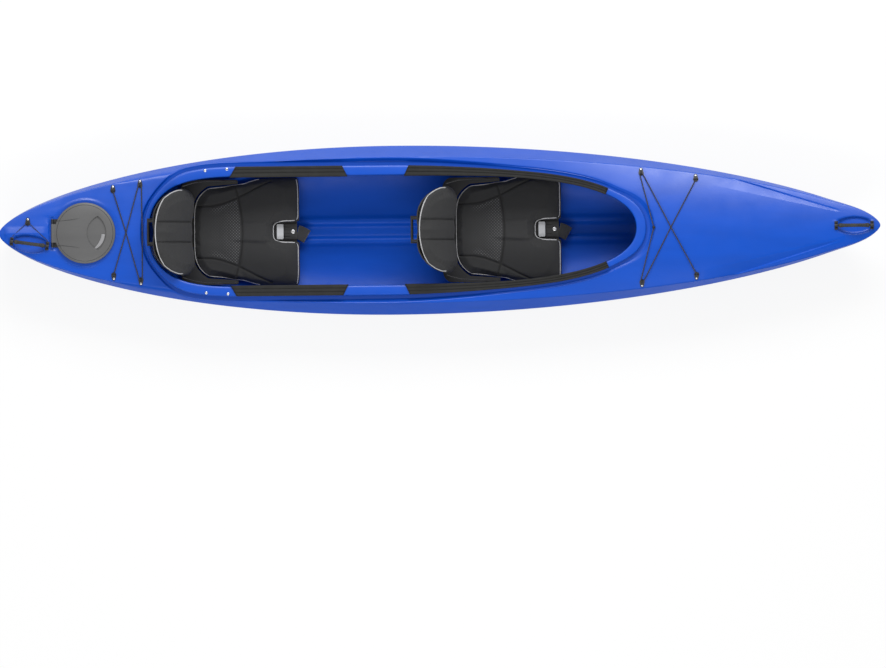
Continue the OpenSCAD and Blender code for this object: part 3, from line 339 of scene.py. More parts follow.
# Painted shade: the dark in the lid's grooves, laid on as thin dark strips and a ring.
LID_GROOVE_SHADE = Moulded("lid_groove_shade", (0.028, 0.028, 0.029), 0.55)
PULL = Moulded("pull_grey", (0.25, 0.25, 0.26), 0.5, flow=0.05)
PALE = Moulded("pale_grey", (0.46, 0.47, 0.49), 0.45, flow=0.05)
RIB = Rubber("pad_rubber", (0.0155, 0.0155, 0.015), 0.62)
GRIP = Rubber("grip_rubber", (0.036, 0.036, 0.034), 0.6)
FOAM = Rubber("bulkhead_foam", (0.07, 0.072, 0.078), 0.85, grain=300.0)
STEEL = Steel("stainless", (0.62, 0.62, 0.63), 0.28)
COVER = Cloth("seat_cover", (0.026, 0.0263, 0.027), 0.85, dotted=True, sheen=0.05)
PIPING = Cloth("piping", (0.42, 0.42, 0.43), 0.75, weave=Weave.BRAID, yarn=0.0012)
WEBBING = Cloth("black_webbing", (0.022, 0.022, 0.024), 0.75, weave=Weave.RIBBED, yarn=0.0022)
CORD = Cloth("bungee_cover", (0.014, 0.014, 0.016), 0.7, weave=Weave.BRAID, yarn=0.001)


def sweep(bm: BMesh, rings: list[list[Vector]], closed: bool) -> None:
    """Extrudes a chain of edges from ring to ring.

    Args:
        bm: mesh that gets the surface.
        rings: points of each ring, all of one length.
        closed: whether a ring's last point joins its first.
    """
    verts = [bm.verts.new(p) for p in rings[0]]
    count = len(verts)
    steps = count if closed else count - 1
    edges = [bm.edges.new((verts[i], verts[(i + 1) % count])) for i in range(steps)]
    for ring in rings[1:]:
        order = {v: i for i, v in enumerate(verts)}
        made = bmesh.ops.extrude_edge_only(bm, edges=edges)["geom"]
        placed: dict[int, BMVert] = {}
        for v in (g for g in made if isinstance(g, BMVert)):
            for e in v.link_edges:
                other = e.other_vert(v)
                if other in order:
                    placed[order[other]] = v
        verts = [placed[i] for i in range(count)]
        for v, p in zip(verts, ring):
            v.co = p
        edges = [bm.edges.get((verts[i], verts[(i + 1) % count])) for i in range(steps)]


def close(bm: BMesh) -> list[bmesh.types.BMFace]:
    """Fills a mesh's open ends and returns the new faces."""
    return bmesh.ops.holes_fill(bm, edges=[e for e in bm.edges if e.is_boundary], sides=0)["faces"]


def loft(bm: BMesh, rings: list[list[Vector]]) -> None:
    """Sweeps closed rings and fills both ends."""
    sweep(bm, rings, True)
    close(bm)


def heading(path: list[Vector], i: int) -> Vector:
    """Direction of a path at its point i."""
    return (path[min(len(path) - 1, i + 1)] - path[max(0, i - 1)]).normalized()


def tube(bm: BMesh, path: list[Vector], radius: float | list[float], sides: int = 10, flat: float = 1.0) -> None:
    """Sweeps a capped tube along a path.

    Args:
        bm: mesh that gets the tube.
        path: points in metres.
        radius: one radius, or one for each point.
        sides: sides of the tube.
        flat: height of the tube as a share of its width.
    """
    turns = [2 * math.pi * k / sides for k in range(sides)]
    rings = []
    for i, p in enumerate(path):
        along = heading(path, i)
        side = along.cross(UP)
        side = side.normalized() if side.length > 1e-6 else Vector((0, 1, 0))
        up = side.cross(along)
        r = radius[i] if isinstance(radius, list) else radius
        rings.append([p + side * (r * math.cos(a)) + up * (r * flat * math.sin(a)) for a in turns])
    loft(bm, rings)


def even(path: list[Vector], step: float) -> list[Vector]:
    """A path with points at an even step and the same two ends.

    Args:
        path: points in metres.
        step: distance between the new points.
    Returns:
        The new points.
    """
    lengths = [0.0]
    for a, b in zip(path, path[1:]):
        lengths.append(lengths[-1] + (b - a).length)
    count = max(2, round(lengths[-1] / step))
    out, k = [], 0
    for i in range(count + 1):
        s = lengths[-1] * i / count
        while k < len(path) - 2 and lengths[k + 1] < s:
            k += 1
        span = lengths[k + 1] - lengths[k]
        out.append(path[k].lerp(path[k + 1], (s - lengths[k]) / span if span else 0.0))
    return out


def relaxed(path: list[Vector], rounds: int) -> list[Vector]:
    """A path with the same two ends, its corners rounded.

    Args:
        path: points in metres.
        rounds: how often neighbours are averaged.
    Returns:
        The smoothed points.
    """
    for _ in range(rounds):
        inner = [(a + b * 2 + c) / 4 for a, b, c in zip(path, path[1:], path[2:])]
        path = [path[0], *inner, path[-1]]
    return path


def stand(name: str, bm: BMesh) -> Object:
    """Turns a bmesh, which is freed, into an object in the scene.

    Args:
        name: the object's name.
        bm: its mesh.
    Returns:
        The object.
    """
    mesh = bpy.data.meshes.new(name)
    bm.to_mesh(mesh)
    bm.free()
    obj = bpy.data.objects.new(name, mesh)
    bpy.context.scene.collection.objects.link(obj)
    return obj


def baked(obj: Object) -> Mesh:
    """Takes an object out of the scene.

    Args:
        obj: the object.
    Returns:
        Its mesh, with its modifiers applied.
    """
    graph = bpy.context.evaluated_depsgraph_get()
    mesh = bpy.data.meshes.new_from_object(obj.evaluated_get(graph))
    bpy.data.objects.remove(obj)
    return mesh


def of_mesh(mesh: Mesh) -> BMesh:
    """A mesh as a new bmesh."""
    bm = bmesh.new()
    bm.from_mesh(mesh)
    return bm


def merged(name: str) -> BMesh:
    """A copy of a CAD node, its triangles welded."""
    bm = of_mesh(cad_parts[name].data)
    bmesh.ops.remove_doubles(bm, verts=bm.verts, dist=WELD)
    return bm


def piece(name: str, bm: BMesh, finish: Finish, body: str | None, replaces: tuple = ()) -> Object:
    """Turns a bmesh into a shaded piece that rides on a body.

    Args:
        name: the piece's name.
        bm: its mesh, freed here.
        finish: its finish.
        body: CAD body that it rides on, or None.
        replaces: CAD nodes that it stands for.
    Returns:
        The object.
    """
    bmesh.ops.recalc_face_normals(bm, faces=bm.faces)
    obj = stand(name, bm)
    for polygon in obj.data.polygons:
        polygon.use_smooth = True
    obj.data.materials.append(finish.material())
    if body is not None:
        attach(obj, body)
    if replaces:
        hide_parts(*replaces)
    log.info("piece %s: %d faces", name, len(obj.data.polygons))
    return obj


def even_shading() -> NodeTree:
    """Node group that welds a CAD node's triangles and smooths its round faces."""
    group = bpy.data.node_groups.get("even_shading")
    if group is None:
        group = bpy.data.node_groups.new("even_shading", "GeometryNodeTree")
        for way in ("INPUT", "OUTPUT"):
            group.interface.new_socket("Geometry", in_out=way, socket_type="NodeSocketGeometry")
        n = Nodes(group)
        weld = n.add("GeometryNodeMergeByDistance", n.add("NodeGroupInput").outputs[0], Distance=WELD)
        faces = n.add("GeometryNodeSetShadeSmooth", weld.outputs[0])
        angle = n.add("GeometryNodeInputMeshEdgeAngle").outputs[0]
        test = n.add("FunctionNodeCompare", angle, math.radians(32), operation="LESS_THAN").outputs[0]
        edges = n.add("GeometryNodeSetShadeSmooth", faces.outputs[0], Shade_Smooth=test, domain="EDGE")
        n.add("NodeGroupOutput", edges.outputs[0])
    return group


def shade_evenly(obj: Object) -> None:
    """Adds the even shading to an object."""
    obj.modifiers.new("even", "NODES").node_group = even_shading()


def dress_node(name: str, finish: Finish, bevel: float = 0.0) -> None:
    """Gives a CAD node its finish and even shading.

    Args:
        name: the node.
        finish: its finish.
        bevel: width of the rounding on its sharp edges, in metres.
    """
    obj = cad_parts[name]
    obj.data.materials.clear()
    obj.data.materials.append(finish.material())
    if bevel:
        obj.modifiers.new("weld", "WELD").merge_threshold = WELD
        edge = obj.modifiers.new("edge", "BEVEL")
        edge.width, edge.segments, edge.profile = bevel, 2, 0.5
        edge.limit_method, edge.angle_limit = "ANGLE", math.radians(40)
    shade_evenly(obj)
    log.info("node %s: %s", name, finish.name)


@dataclass(frozen=True)
class HullLines:
    """Lines of the hull and its cockpit, in millimetres from the middle of the keel."""

    half: float = 2055.0
    half_beam: float = 395.0
    widest: float = -205.0
    wall: float = 5.0
    keel_flat: float = 640.0
    cockpit_aft: float = -1352.0
    cockpit_front: float = 915.0
    cockpit_half_width: float = 256.0
    straight_aft: float = -900.0
    straight_front: float = -300.0
    rim_width: float = 47.0
    gutter_out: float = 80.0
    gutter_foot: float = 68.0
    gutter_depth: float = 32.0
    ridge_foot: float = 66.0
    ridge_top: float = 22.0
    ridge_aft: float = -1270.0
    ridge_front: float = 900.0

    def run(self, x: float) -> float:
        """Share of the way from the widest station to the end."""
        if x < self.widest:
            return (self.widest - x) / (self.widest + self.half)
        return (x - self.widest) / (self.half - self.widest)

    def by_end(self, x: float, aft: float, fore: float) -> float:
        """The aft value aft of the widest station, or else the fore one."""
        return aft if x < self.widest else fore

    def sheer_half(self, x: float) -> float:
        """Half breadth at the sheer edge, blunt at the bow."""
        blunt = 1 + 0.4 * (max(0.0, x - 1800) / 255) ** 2
        return max(6.0, blunt * self.half_beam * max(0.0, 1 - self.run(x) ** 2) ** self.by_end(x, 0.65, 0.72))

    def chine_half(self, x: float) -> float:
        """Half breadth at the chine."""
        return self.sheer_half(x) * (0.88 - self.by_end(x, 0.2, 0.3) * self.run(x) ** 2)

    def shoulder_half(self, x: float) -> float:
        """Half breadth at the deck's shoulder."""
        return self.sheer_half(x) * (0.862 + 0.1 * self.run(x) ** 2)

    def keel_z(self, x: float) -> float:
        """Height of the keel, with its rocker, and its rise at the stern and the bow."""
        rocker = self.by_end(x, 44, 33) * (max(0.0, abs(x) - self.keel_flat) / (self.half - self.keel_flat)) ** 2
        stern = 118 * (max(0.0, 50 - self.half - x) / 50) ** 2
        return rocker + stern + 258 * (max(0.0, x - self.half + 385) / 385) ** 2

    def chine_z(self, x: float) -> float:
        """Height of the chine."""
        return 74 + self.by_end(x, 108 * self.run(x) ** 2.3, 230 * self.run(x) ** 2.5)

    def sheer_z(self, x: float) -> float:
        """Height of the sheer edge."""
        return 207 + self.by_end(x, 83 * self.run(x) ** 2.5, 105 * self.run(x) ** 2.8)

    def deck_centre_z(self, x: float) -> float:
        """Height of the deck on the centreline."""
        drop = 30 * (max(0.0, x - 980) / (self.half - 980)) ** 1.5
        return mix(314, 350, smooth((x - 250) / 730)) - drop + 8 * smooth((-1780 - x) / 60)

    def shoulder_z(self, x: float) -> float:
        """Height of the deck's shoulder."""
        return mix(self.sheer_z(x), self.deck_centre_z(x), mix(0.8, 0.62, smooth((x - 200) / 900)))

    def deck_z(self, x: float, y: float) -> float:
        """Height of the outside of the deck, or of the shoulder's slope beyond it."""
        edge, low, y = self.shoulder_half(x), self.shoulder_z(x), abs(y)
        if y <= edge:
            return low + (self.deck_centre_z(x) - low) * (1 - (y / edge) ** 2)
        return mix(low, self.sheer_z(x), min(1.0, (y - edge) / max(1.0, self.sheer_half(x) - edge)))

    def steepen(self, x: float, d: float) -> float:
        """Extra rise of a skin d inside, where the bottom is steep."""
        return d * 2.8 * self.run(x) ** 2

    def chine_in(self, x: float, d: float) -> float:
        """Height of the chine on a skin d inside."""
        return self.chine_z(x) + d * 0.4 + self.steepen(x, d) / 2

    def flat_share(self, x: float) -> float:
        """Flat share of the bottom."""
        return 0.3 * (1 - self.run(x) ** 1.5)

    def bottom(self, x: float, q: float, d: float) -> Vector:
        """Point of the bottom, q from the keel to the chine."""
        f = self.flat_share(x)
        rise = (max(0.0, q - f) / (1 - f)) ** (2.6 - 1.3 * self.run(x))
        keel = self.keel_z(x) + d + self.steepen(x, d)
        return Vector((x, (self.chine_half(x) - d) * q, mix(keel, self.chine_in(x, d), rise)))

    def side(self, x: float, t: float, d: float) -> Vector:
        """Point of the side, t from the chine to the sheer."""
        y = mix(self.chine_half(x) - d, self.sheer_half(x) - d, 1 - (1 - t) ** 1.5)
        return Vector((x, y, mix(self.chine_in(x, d), self.sheer_z(x), t)))

    def ridge(self, x: float, y: float, lift: bool) -> Vector:
        """Corner of a floor ridge on the inner skin."""
        d = self.wall
        p = self.bottom(x, min(y / (self.chine_half(x) - d), y / self.ridge_foot * 0.42), d)
        return Vector((x, p.y, self.ridge_top)) if lift and self.ridge_aft < x < self.ridge_front else p

    def cockpit_half(self, x: float) -> float:
        """Half width of the cockpit opening."""
        if x > self.straight_front:
            u = (x - self.straight_front) / (self.cockpit_front - self.straight_front)
            return self.cockpit_half_width * max(0.0, 1 - u**3.5) ** 0.46
        if x < self.straight_aft:
            u = (self.straight_aft - x) / (self.straight_aft - self.cockpit_aft)
            return self.cockpit_half_width * max(0.0, 1 - u**3.2) ** 0.42
        return self.cockpit_half_width

    def rim_z(self, x: float) -> float:
        """Height of the top of the coaming."""
        return 305 + 20 * (max(0.0, -80 - x) / 1250) ** 1.5 + 46 * (max(0.0, x + 80) / 1000) ** 2.2

    def rim_scale(self, x: float) -> float:
        """How far the rim and gutter narrow round the aft end and beside the front seat."""
        return 1 - 0.5 * smooth((-1160 - x) / 160) - 0.36 * smooth((x + 250) / 700) * smooth((930 - x) / 130)

    def gutter_lift(self, x: float) -> float:
        """How far the gutter's floor rises beside the front seat."""
        return 11.0 * smooth((x + 250) / 700)


LINES = HullLines()


class CockpitEdge:
    """Port edge of the cockpit from its aft tip to its front tip, by length."""

    def __init__(self, samples: int = 600) -> None:
        """Samples the edge.

        Args:
            samples: how many chords it has.
        """
        self.points: list[tuple[float, float]] = []
        for i in range(samples + 1):
            x = mix(LINES.cockpit_aft, LINES.cockpit_front, (1 - math.cos(math.pi * i / samples)) / 2)
            self.points.append((x, LINES.cockpit_half(x)))
        self.lengths = [0.0]
        for a, b in zip(self.points, self.points[1:]):
            self.lengths.append(self.lengths[-1] + math.dist(a, b))

    def length_at(self, x: float) -> float:
        """Length along the edge at x."""
        i = max(1, bisect_left(self.points, x, key=lambda p: p[0]))
        a, b = self.points[i - 1][0], self.points[i][0]
        return mix(self.lengths[i - 1], self.lengths[i], (x - a) / max(1e-9, b - a))

    def at(self, s: float) -> tuple[float, float]:
        """Point of the edge at a length, mirrored past its two ends."""
        total = self.lengths[-1]
        flip = -1.0 if s < 0 or s > total else 1.0
        s = -s if s < 0 else 2 * total - s if s > total else s
        i = min(bisect_right(self.lengths, s) - 1, len(self.lengths) - 2)
        t = (s - self.lengths[i]) / max(1e-9, self.lengths[i + 1] - self.lengths[i])
        (ax, ay), (bx, by) = self.points[i], self.points[i + 1]
        return mix(ax, bx, t), flip * mix(ay, by, t)

    def outward(self, s: float, reach: float = 14.0) -> tuple[float, float]:
        """Direction out of the cockpit at a length along its edge."""
        (ax, ay), (bx, by) = self.at(s - reach), self.at(s + reach)
        span = math.hypot(bx - ax, by - ay)
        return -(by - ay) / span, (bx - ax) / span

    def rim_point(self, s: float, out: float, up: float) -> Vector:
        """Point of the rim, out from the opening and up from its top, in millimetres."""
        (x, y), (ox, oy) = self.at(s), self.outward(s)
        k = LINES.rim_scale(x)
        return Vector((x + ox * out * k, y + oy * out * k, LINES.rim_z(x) + up))


EDGE = CockpitEdge()


@dataclass
class HullShell:
    """The one-piece moulding: hull, deck, gutter, coaming and inner skin."""

    stations: int = 76
    mid_aft: float = -1150.0
    mid_front: float = 650.0
    inner_aft: float = 60.0
    inner_bow: float = 170.0
    shoulder_ts: tuple = (0.0, 0.06, 0.3, 0.7, 0.93)
    deck_ss: tuple = (0.0, 0.05, 0.16, 0.3, 0.45, 0.6, 0.75, 0.88, 0.96)
    side_ts: tuple = (1.0, 0.94, 0.75, 0.5, 0.25, 0.08)
    bottom_qs: tuple = (1.0, 0.95, 0.84, 0.66, 0.48)
    ridge_ys: tuple = ((66, False), (62, True), (31, True), (27, False))
    gutter_slope: float = 52 / 92
    gutter_points: int = 5
    hatch_z: float = 310.0
    hatch_seat_r: float = 155.0
    hatch_hole_r: float = 118.0
    hatch_low: float = 280.0
    # How far round a place the deck is divided, and the longest edge there.
    hatch_fine: tuple = (190.0, 11.0)
    dish_fine: tuple = (125.0, 9.0)
    crease_fine: float = 6.0
    ridge_fine: float = 8.0
    deck_low: float = 240.0
    # Half length, half width and depth.
    dish: tuple = (94.0, 41.0, 14.0)
    boss_up: float = 2.0
    crease_x: tuple = (1380.0, 1846.0)
    crease_outer: tuple = (218.0, 72.5)
    crease_inner: tuple = (170.0, 66.0)
    crease_wall: float = 8.0
    crease_deep: float = 6.5
    # Height and half width of the ridge at the stern.
    roof: tuple = (7.0, 34.0)
    # Painted sheen: the specular share in the cockpit and starboard groove, and from faces turned to starboard to
    # faces turned to port.
    painted_sheen_dull: float = 0.3
    painted_sheen: tuple = (0.4, 1.6)
    edge_s: list = field(default_factory=list)
    edge_out: list = field(default_factory=list)

    def loop(self, points: list[Vector]) -> list[Vector]:
        """A whole ring from its port half, which runs from stern to bow.

        Args:
            points: port points in millimetres, the two ends on the centreline.
        Returns:
            The ring's points in metres.
        """
        ends = [Vector((p.x, 0 if i in (0, len(points) - 1) else p.y, p.z)) for i, p in enumerate(points)]
        starboard = [Vector((p.x, -p.y, p.z)) for p in reversed(ends[1:-1])]
        return [p * MM for p in ends + starboard]

    def chain(self, half: list[Vector], shut: bool) -> list[Vector]:
        """A section from the port sheer round the keel to the starboard one.

        Args:
            half: port points in millimetres, the last on the keel.
            shut: whether the section is pressed flat on the centreline.
        Returns:
            The section's points in metres.
        """
        flat = [Vector((p.x, 0 if shut else p.y, p.z)) for p in half]
        return [p * MM for p in flat + [Vector((p.x, -p.y, p.z)) for p in reversed(flat[:-1])]]

    def place(self, i: int, d: float) -> float:
        """X of station i on a skin d inside the outer one; the inner skin stops short of both ends."""
        aft, bow = (self.inner_aft, self.inner_bow) if d else (0.0, 0.0)
        return station(-LINES.half + aft, LINES.half - bow, self.stations, i)

    def pair_edge(self) -> None:
        """Finds, for each station, its place on the cockpit edge and the width of the gutter there."""
        total = EDGE.lengths[-1]
        low, high = EDGE.length_at(self.mid_aft), EDGE.length_at(self.mid_front)
        for i in range(self.stations + 1):
            x = self.place(i, 0.0)
            if x < self.mid_aft:
                s = low * (x + LINES.half) / (self.mid_aft + LINES.half)
            elif x > self.mid_front:
                s = mix(high, total, (x - self.mid_front) / (LINES.half - self.mid_front))
            else:
                s = EDGE.length_at(x)
            out = LINES.gutter_out
            for _ in range(12):
                p = EDGE.rim_point(s, out, 0)
                rise = LINES.deck_z(p.x, p.y) - (LINES.rim_z(EDGE.at(s)[0]) - LINES.gutter_depth)
                out = mix(out, LINES.gutter_foot + max(2.0, rise * self.gutter_slope), 0.6)
            self.edge_s.append(s)
            self.edge_out.append(out)

    def deck_rings(self, d: float) -> list[list[Vector]]:
        """Rings from the sheer over the shoulder to the gutter's edge.

        Args:
            d: depth inside the outer skin.
        Returns:
            The rings, from the sheer inwards.
        """
        columns = []
        for i in range(self.stations + 1):
            x = self.place(i, d)
            lip = EDGE.rim_point(self.edge_s[i], self.edge_out[i] + 4, 0)
            inboard = max(LINES.shoulder_half(x), lip.y + 6 if abs(lip.x - x) < 200 else 0.0)
            inboard = min(inboard, LINES.sheer_half(x) * 0.985)
            column = []
            for t in self.shoulder_ts:
                y = mix(LINES.sheer_half(x), inboard, t)
                column.append(Vector((x, max(0.0, y - d), LINES.deck_z(x, y) - d * 0.6 * t)))
            for s in self.deck_ss:
                px, py = mix(x, lip.x, s), mix(inboard, lip.y, s)
                column.append(Vector((px, max(0.0, py - d * (1 - s)), LINES.deck_z(px, py) - d)))
            columns.append(column)
        return [self.loop([c[k] for c in columns]) for k in range(len(columns[0]))]

    def rim_rings(self) -> list[list[Vector]]:
        """Rings from the gutter's edge over the coaming and back under the deck."""
        low, wide, riser, lip, drop = -LINES.gutter_depth, LINES.rim_width, 13.0, 8.0, 17.0
        foot, edge = LINES.gutter_foot, wide - lip
        profile = [
            (foot + 2, low + 5), (foot - 3, low), (foot - 12, low), (riser + 6, low), (riser, low + 5),
            (riser, -lip - 4), (riser + 3, -lip), (edge - 3, -lip), (edge, -lip - 3), (edge, -drop + 1),
            (edge + 2, -drop), (wide - 2, -drop), (wide, -drop + 2), (wide, -7), (wide - 2, -2),
            (wide - 7, 0), (wide * 0.6, 0.4), (wide * 0.3, 0.4), (7, 0), (2, -1.6), (0, -6), (0, -24),
            (0, -44), (2, -48), (riser - 2, -48), (riser + 3, -41), (foot - 10, low - 5.5),
        ]
        rings = []
        for k, sink in ((2.0, -0.4), (0.0, -1.6), (-2.5, -5.0)):
            column = []
            for s, out in zip(self.edge_s, self.edge_out):
                p = EDGE.rim_point(s, out + k, 0)
                column.append(Vector((p.x, p.y, LINES.deck_z(p.x, p.y) + sink)))
            rings.append(self.loop(column))
        for k, (out, up) in enumerate(profile):
            column = []
            for s in self.edge_s:
                lift = LINES.gutter_lift(EDGE.at(s)[0]) if k < self.gutter_points else 0.0
                column.append(EDGE.rim_point(s, out, up + lift))
            rings.append(self.loop(column))
        return rings

    def bowl(self, d: float) -> list[list[Vector]]:
        """Sections of the bottom and sides.

        Args:
            d: depth inside the outer skin; the inner skin carries the floor ridges.
        Returns:
            The sections, from stern to bow.
        """
        sections = []
        for i in range(self.stations + 1):
            x = self.place(i, d)
            half = [LINES.side(x, t, d) for t in self.side_ts] + [LINES.bottom(x, q, d) for q in self.bottom_qs]
            if d:
                half += [LINES.ridge(x, y, lift) for y, lift in self.ridge_ys]
            else:
                f = LINES.flat_share(x)
                half += [LINES.bottom(x, q, d) for q in (f + 0.02, f * 0.6)]
            sections.append(self.chain([*half, LINES.bottom(x, 0, d)], i in (0, self.stations)))
        return sections

    def skin(self) -> Mesh:
        """The whole skin, softened.

        Returns:
            A mesh with rounded edges.
        """
        self.pair_edge()
        bm = bmesh.new()
        sweep(bm, self.bowl(0.0), False)
        sweep(bm, self.bowl(LINES.wall), False)
        sweep(bm, [*self.deck_rings(0.0), *self.rim_rings(), *reversed(self.deck_rings(LINES.wall))], True)
        bmesh.ops.remove_doubles(bm, verts=bm.verts, dist=2 * WELD)
        bmesh.ops.dissolve_degenerate(bm, edges=bm.edges, dist=1e-6)
        bmesh.ops.triangulate(bm, faces=close(bm))
        bmesh.ops.recalc_face_normals(bm, faces=bm.faces)
        rough = stand("hull_rough", bm)
        soft = rough.modifiers.new("soften", "SUBSURF")
        soft.levels = soft.render_levels = 1
        return baked(rough)

    def crease(self, x: float, y: float) -> tuple[float, float]:
        """Place in the groove along each side of the fore deck.

        Args:
            x: distance from midships.
            y: distance from the centreline.
        Returns:
            How far the point lies inside the groove's outer line, and the groove's width there.
        """
        t = (x - self.crease_x[0]) / (self.crease_x[1] - self.crease_x[0])
        outer, inner = mix(*self.crease_outer, t), mix(*self.crease_inner, t)
        return outer - abs(y), max(6.0, outer - inner)

    def crease_drop(self, x: float, y: float) -> float:
        """Depth of the groove: a steep outer wall and a gentle rise inboard of it."""
        inside, width = self.crease(x, y)
        aft, front = smooth((x - self.crease_x[0] + 130) / 130), smooth((self.crease_x[1] + 30 - x) / 60)
        deep = min(self.crease_deep, 1.6 + 0.14 * width) * aft * front
        return deep * (max(0.0, 1 - inside / width) if inside > 0 else smooth(inside / self.crease_wall + 1))

    def near_crease(self, c: Vector) -> bool:
        """Whether a point of the deck is in or by the groove."""
        inside, width = self.crease(c.x, c.y)
        return self.crease_x[0] - 150 < c.x < self.crease_x[1] + 40 and -14 < inside < width + 8

    def near_ridge(self, c: Vector) -> bool:
        """Whether a point of the deck is by the ridge at the stern."""
        return c.x < -1790 and abs(c.y) < self.roof[1] + 8

    def split(self, bm: BMesh, near: Callable[[Vector], bool], size: float, both: bool = False) -> None:
        """Divides the deck's faces near a place until they are small.

        Args:
            bm: the hull.
            near: tells whether a point, in millimetres, is in the place.
            size: longest edge that is left.
            both: whether the underside of the deck is divided too.
        """
        for _ in range(4):
            edges = set()
            for f in bm.faces:
                c = f.calc_center_median() / MM
                if abs(f.normal.z) < 0.4 or c.z < self.deck_low or not near(c):
                    continue
                if f.normal.z > 0 or both:
                    edges.update(e for e in f.edges if e.calc_length() / MM > size)
            if not edges:
                return
            bmesh.ops.subdivide_edges(bm, edges=list(edges), cuts=1, use_grid_fill=True)
            bmesh.ops.triangulate(bm, faces=[f for f in bm.faces if len(f.verts) > 4])

    def dish_rise(self, p: Vector) -> float:
        """How far the handles' dishes sink the deck and their bosses lift it.

        Args:
            p: a point of the deck, in millimetres.
        Returns:
            The rise in millimetres.
        """
        rise = 0.0
        for x, y, _, turn in HANDLES.values():
            c, s = math.cos(math.radians(turn)), math.sin(math.radians(turn))
            u, w = (p.x - x) * c + (p.y - y) * s, (p.y - y) * c - (p.x - x) * s
            r = math.hypot(u / self.dish[0], w / self.dish[1])
            boss = smooth((13 - abs(abs(u) - HANDLE_REACH)) / 4) * smooth((26 - abs(w)) / 5)
            rise += self.boss_up * boss - self.dish[2] * smooth((1.06 - r) / 0.3) * (1 - boss)
        return rise

    def press(self, bm: BMesh) -> None:
        """Presses the handle dishes, grooves, hatch seat and stern ridge into the deck."""
        for v in bm.verts:
            p = v.co / MM
            if v.normal.z < 0.2 or p.z < LINES.deck_z(p.x, p.y) - 2.5:
                continue
            v.co.z += MM * self.dish_rise(p)
            seat = smooth((self.hatch_seat_r + 7 - math.dist(p.xy, HATCH_AT)) / 7)
            tab = smooth((-1630 - p.x) / 6) * smooth((p.x + 1820) / 6) * smooth((80 - abs(p.y)) / 6)
            v.co.z += MM * (self.hatch_z - p.z) * max(seat, tab)
            ridge = self.roof[0] * max(0.0, 1 - abs(p.y) / self.roof[1])
            v.co.z += MM * ridge * smooth((-1822 - p.x) / 26) * smooth((p.x + 2052) / 50)
            if self.near_crease(p):
                v.co.z -= MM * self.crease_drop(p.x, p.y)

    def mark_painted_sheen(self, bm: BMesh) -> None:
        """Paints sheen into the skin's specular level: most on faces turned to port, where the light falls, least
        in the cockpit and the starboard groove.

        Args:
            bm: the hull.
        """
        layer = bm.verts.layers.float.new("painted_sheen")
        bmesh.ops.recalc_face_normals(bm, faces=bm.faces)
        bm.normal_update()
        for v in bm.verts:
            p = v.co / MM
            along = LINES.cockpit_aft < p.x < LINES.cockpit_front
            inside = abs(p.y) < (LINES.cockpit_half(p.x) + 15 if along else 0.0)
            dull = (inside and p.z < LINES.rim_z(p.x) - 12) or (p.y < 0 and self.near_crease(p))
            v[layer] = self.painted_sheen_dull if dull else mix(*self.painted_sheen, smooth((v.normal.y + 0.25) / 0.5))

    def build(self) -> None:
        """Builds the moulding and cuts the hatch's mouth."""
        bm = of_mesh(self.skin())
        self.split(bm, lambda c: math.dist(c.xy, HATCH_AT) < self.hatch_fine[0], self.hatch_fine[1], True)
        for x, y, *_ in HANDLES.values():
            self.split(bm, lambda c: math.dist(c.xy, (x, y)) < self.dish_fine[0], self.dish_fine[1])
        self.split(bm, self.near_crease, self.crease_fine)
        self.split(bm, self.near_ridge, self.ridge_fine)
        bm.normal_update()
        self.press(bm)
        mouth = []
        for f in bm.faces:
            c = f.calc_center_median() / MM
            if c.z > self.hatch_low and math.dist(c.xy, HATCH_AT) < self.hatch_hole_r:
                mouth.append(f)
        bmesh.ops.delete(bm, geom=mouth, context="FACES")
        self.mark_painted_sheen(bm)
        piece("hull", bm, BLUE, "boat", ("hull_shell",))


@dataclass
class CoamingPads:
    """Ribbed pads on the coaming: grooves along them and a lip down into the cockpit."""

    # Both ends of a pad, and how far each slants across the rim.
    rear: tuple = (-973.0, -428.0, 27.0, -23.0)
    front: tuple = (-162.0, 775.0, 21.0, 0.0)
    thick: float = 5.0
    step: float = 12.0
    gap: float = 0.6
    grooves: tuple = (0.66, 0.3)
    groove_z: float = 2.6

    def profile(self) -> list[tuple[float, float]]:
        """Section of a pad: distance out from the opening, and height over the rim."""
        w, top, low, deep = LINES.rim_width - 1, self.thick + self.gap, self.gap + 0.2, self.groove_z
        points = [
            (-0.7, low), (w * 0.5, low), (w - 1, low), (w, low + 1),
            (w, top - 2), (w - 0.7, top - 0.6), (w - 2.2, top),
        ]
        for c in self.grooves:
            points += [(w * c + 5, top), (w * c + 3.6, top - 0.6), (w * c + 2.8, deep)]
            points += [(w * c - 2.8, deep), (w * c - 3.6, top - 0.6), (w * c - 5, top)]
        points += [(-2.2, top), (-4, top - 0.6), (-4.8, top - 2.2), (-5, -6), (-5, -18)]
        return points + [(-4.2, -20), (-1.4, -20), (-0.7, -19), (-0.7, -8)]

    def build(self) -> None:
        """Builds the four pads."""
        for name, (x0, x1, slant0, slant1) in (("rear", self.rear), ("front", self.front)):
            s0, s1 = EDGE.length_at(x0), EDGE.length_at(x1)
            count = round((s1 - s0) / self.step)
            for side, sign in SIDES:
                rings = []
                for i in range(count + 1):
                    ring = []
                    for out, up in self.profile():
                        lean = out / LINES.rim_width
                        s = mix(s0 + slant0 * lean, s1 + slant1 * lean, i / count)
                        p = EDGE.rim_point(s, out, up)
                        ring.append(Vector((p.x, sign * p.y, p.z)) * MM)
                    rings.append(ring)
                bm = bmesh.new()
                loft(bm, rings)
                piece(f"coaming_{name}_{side}", bm, RIB, "boat", (f"{name}_{side}_pad",))


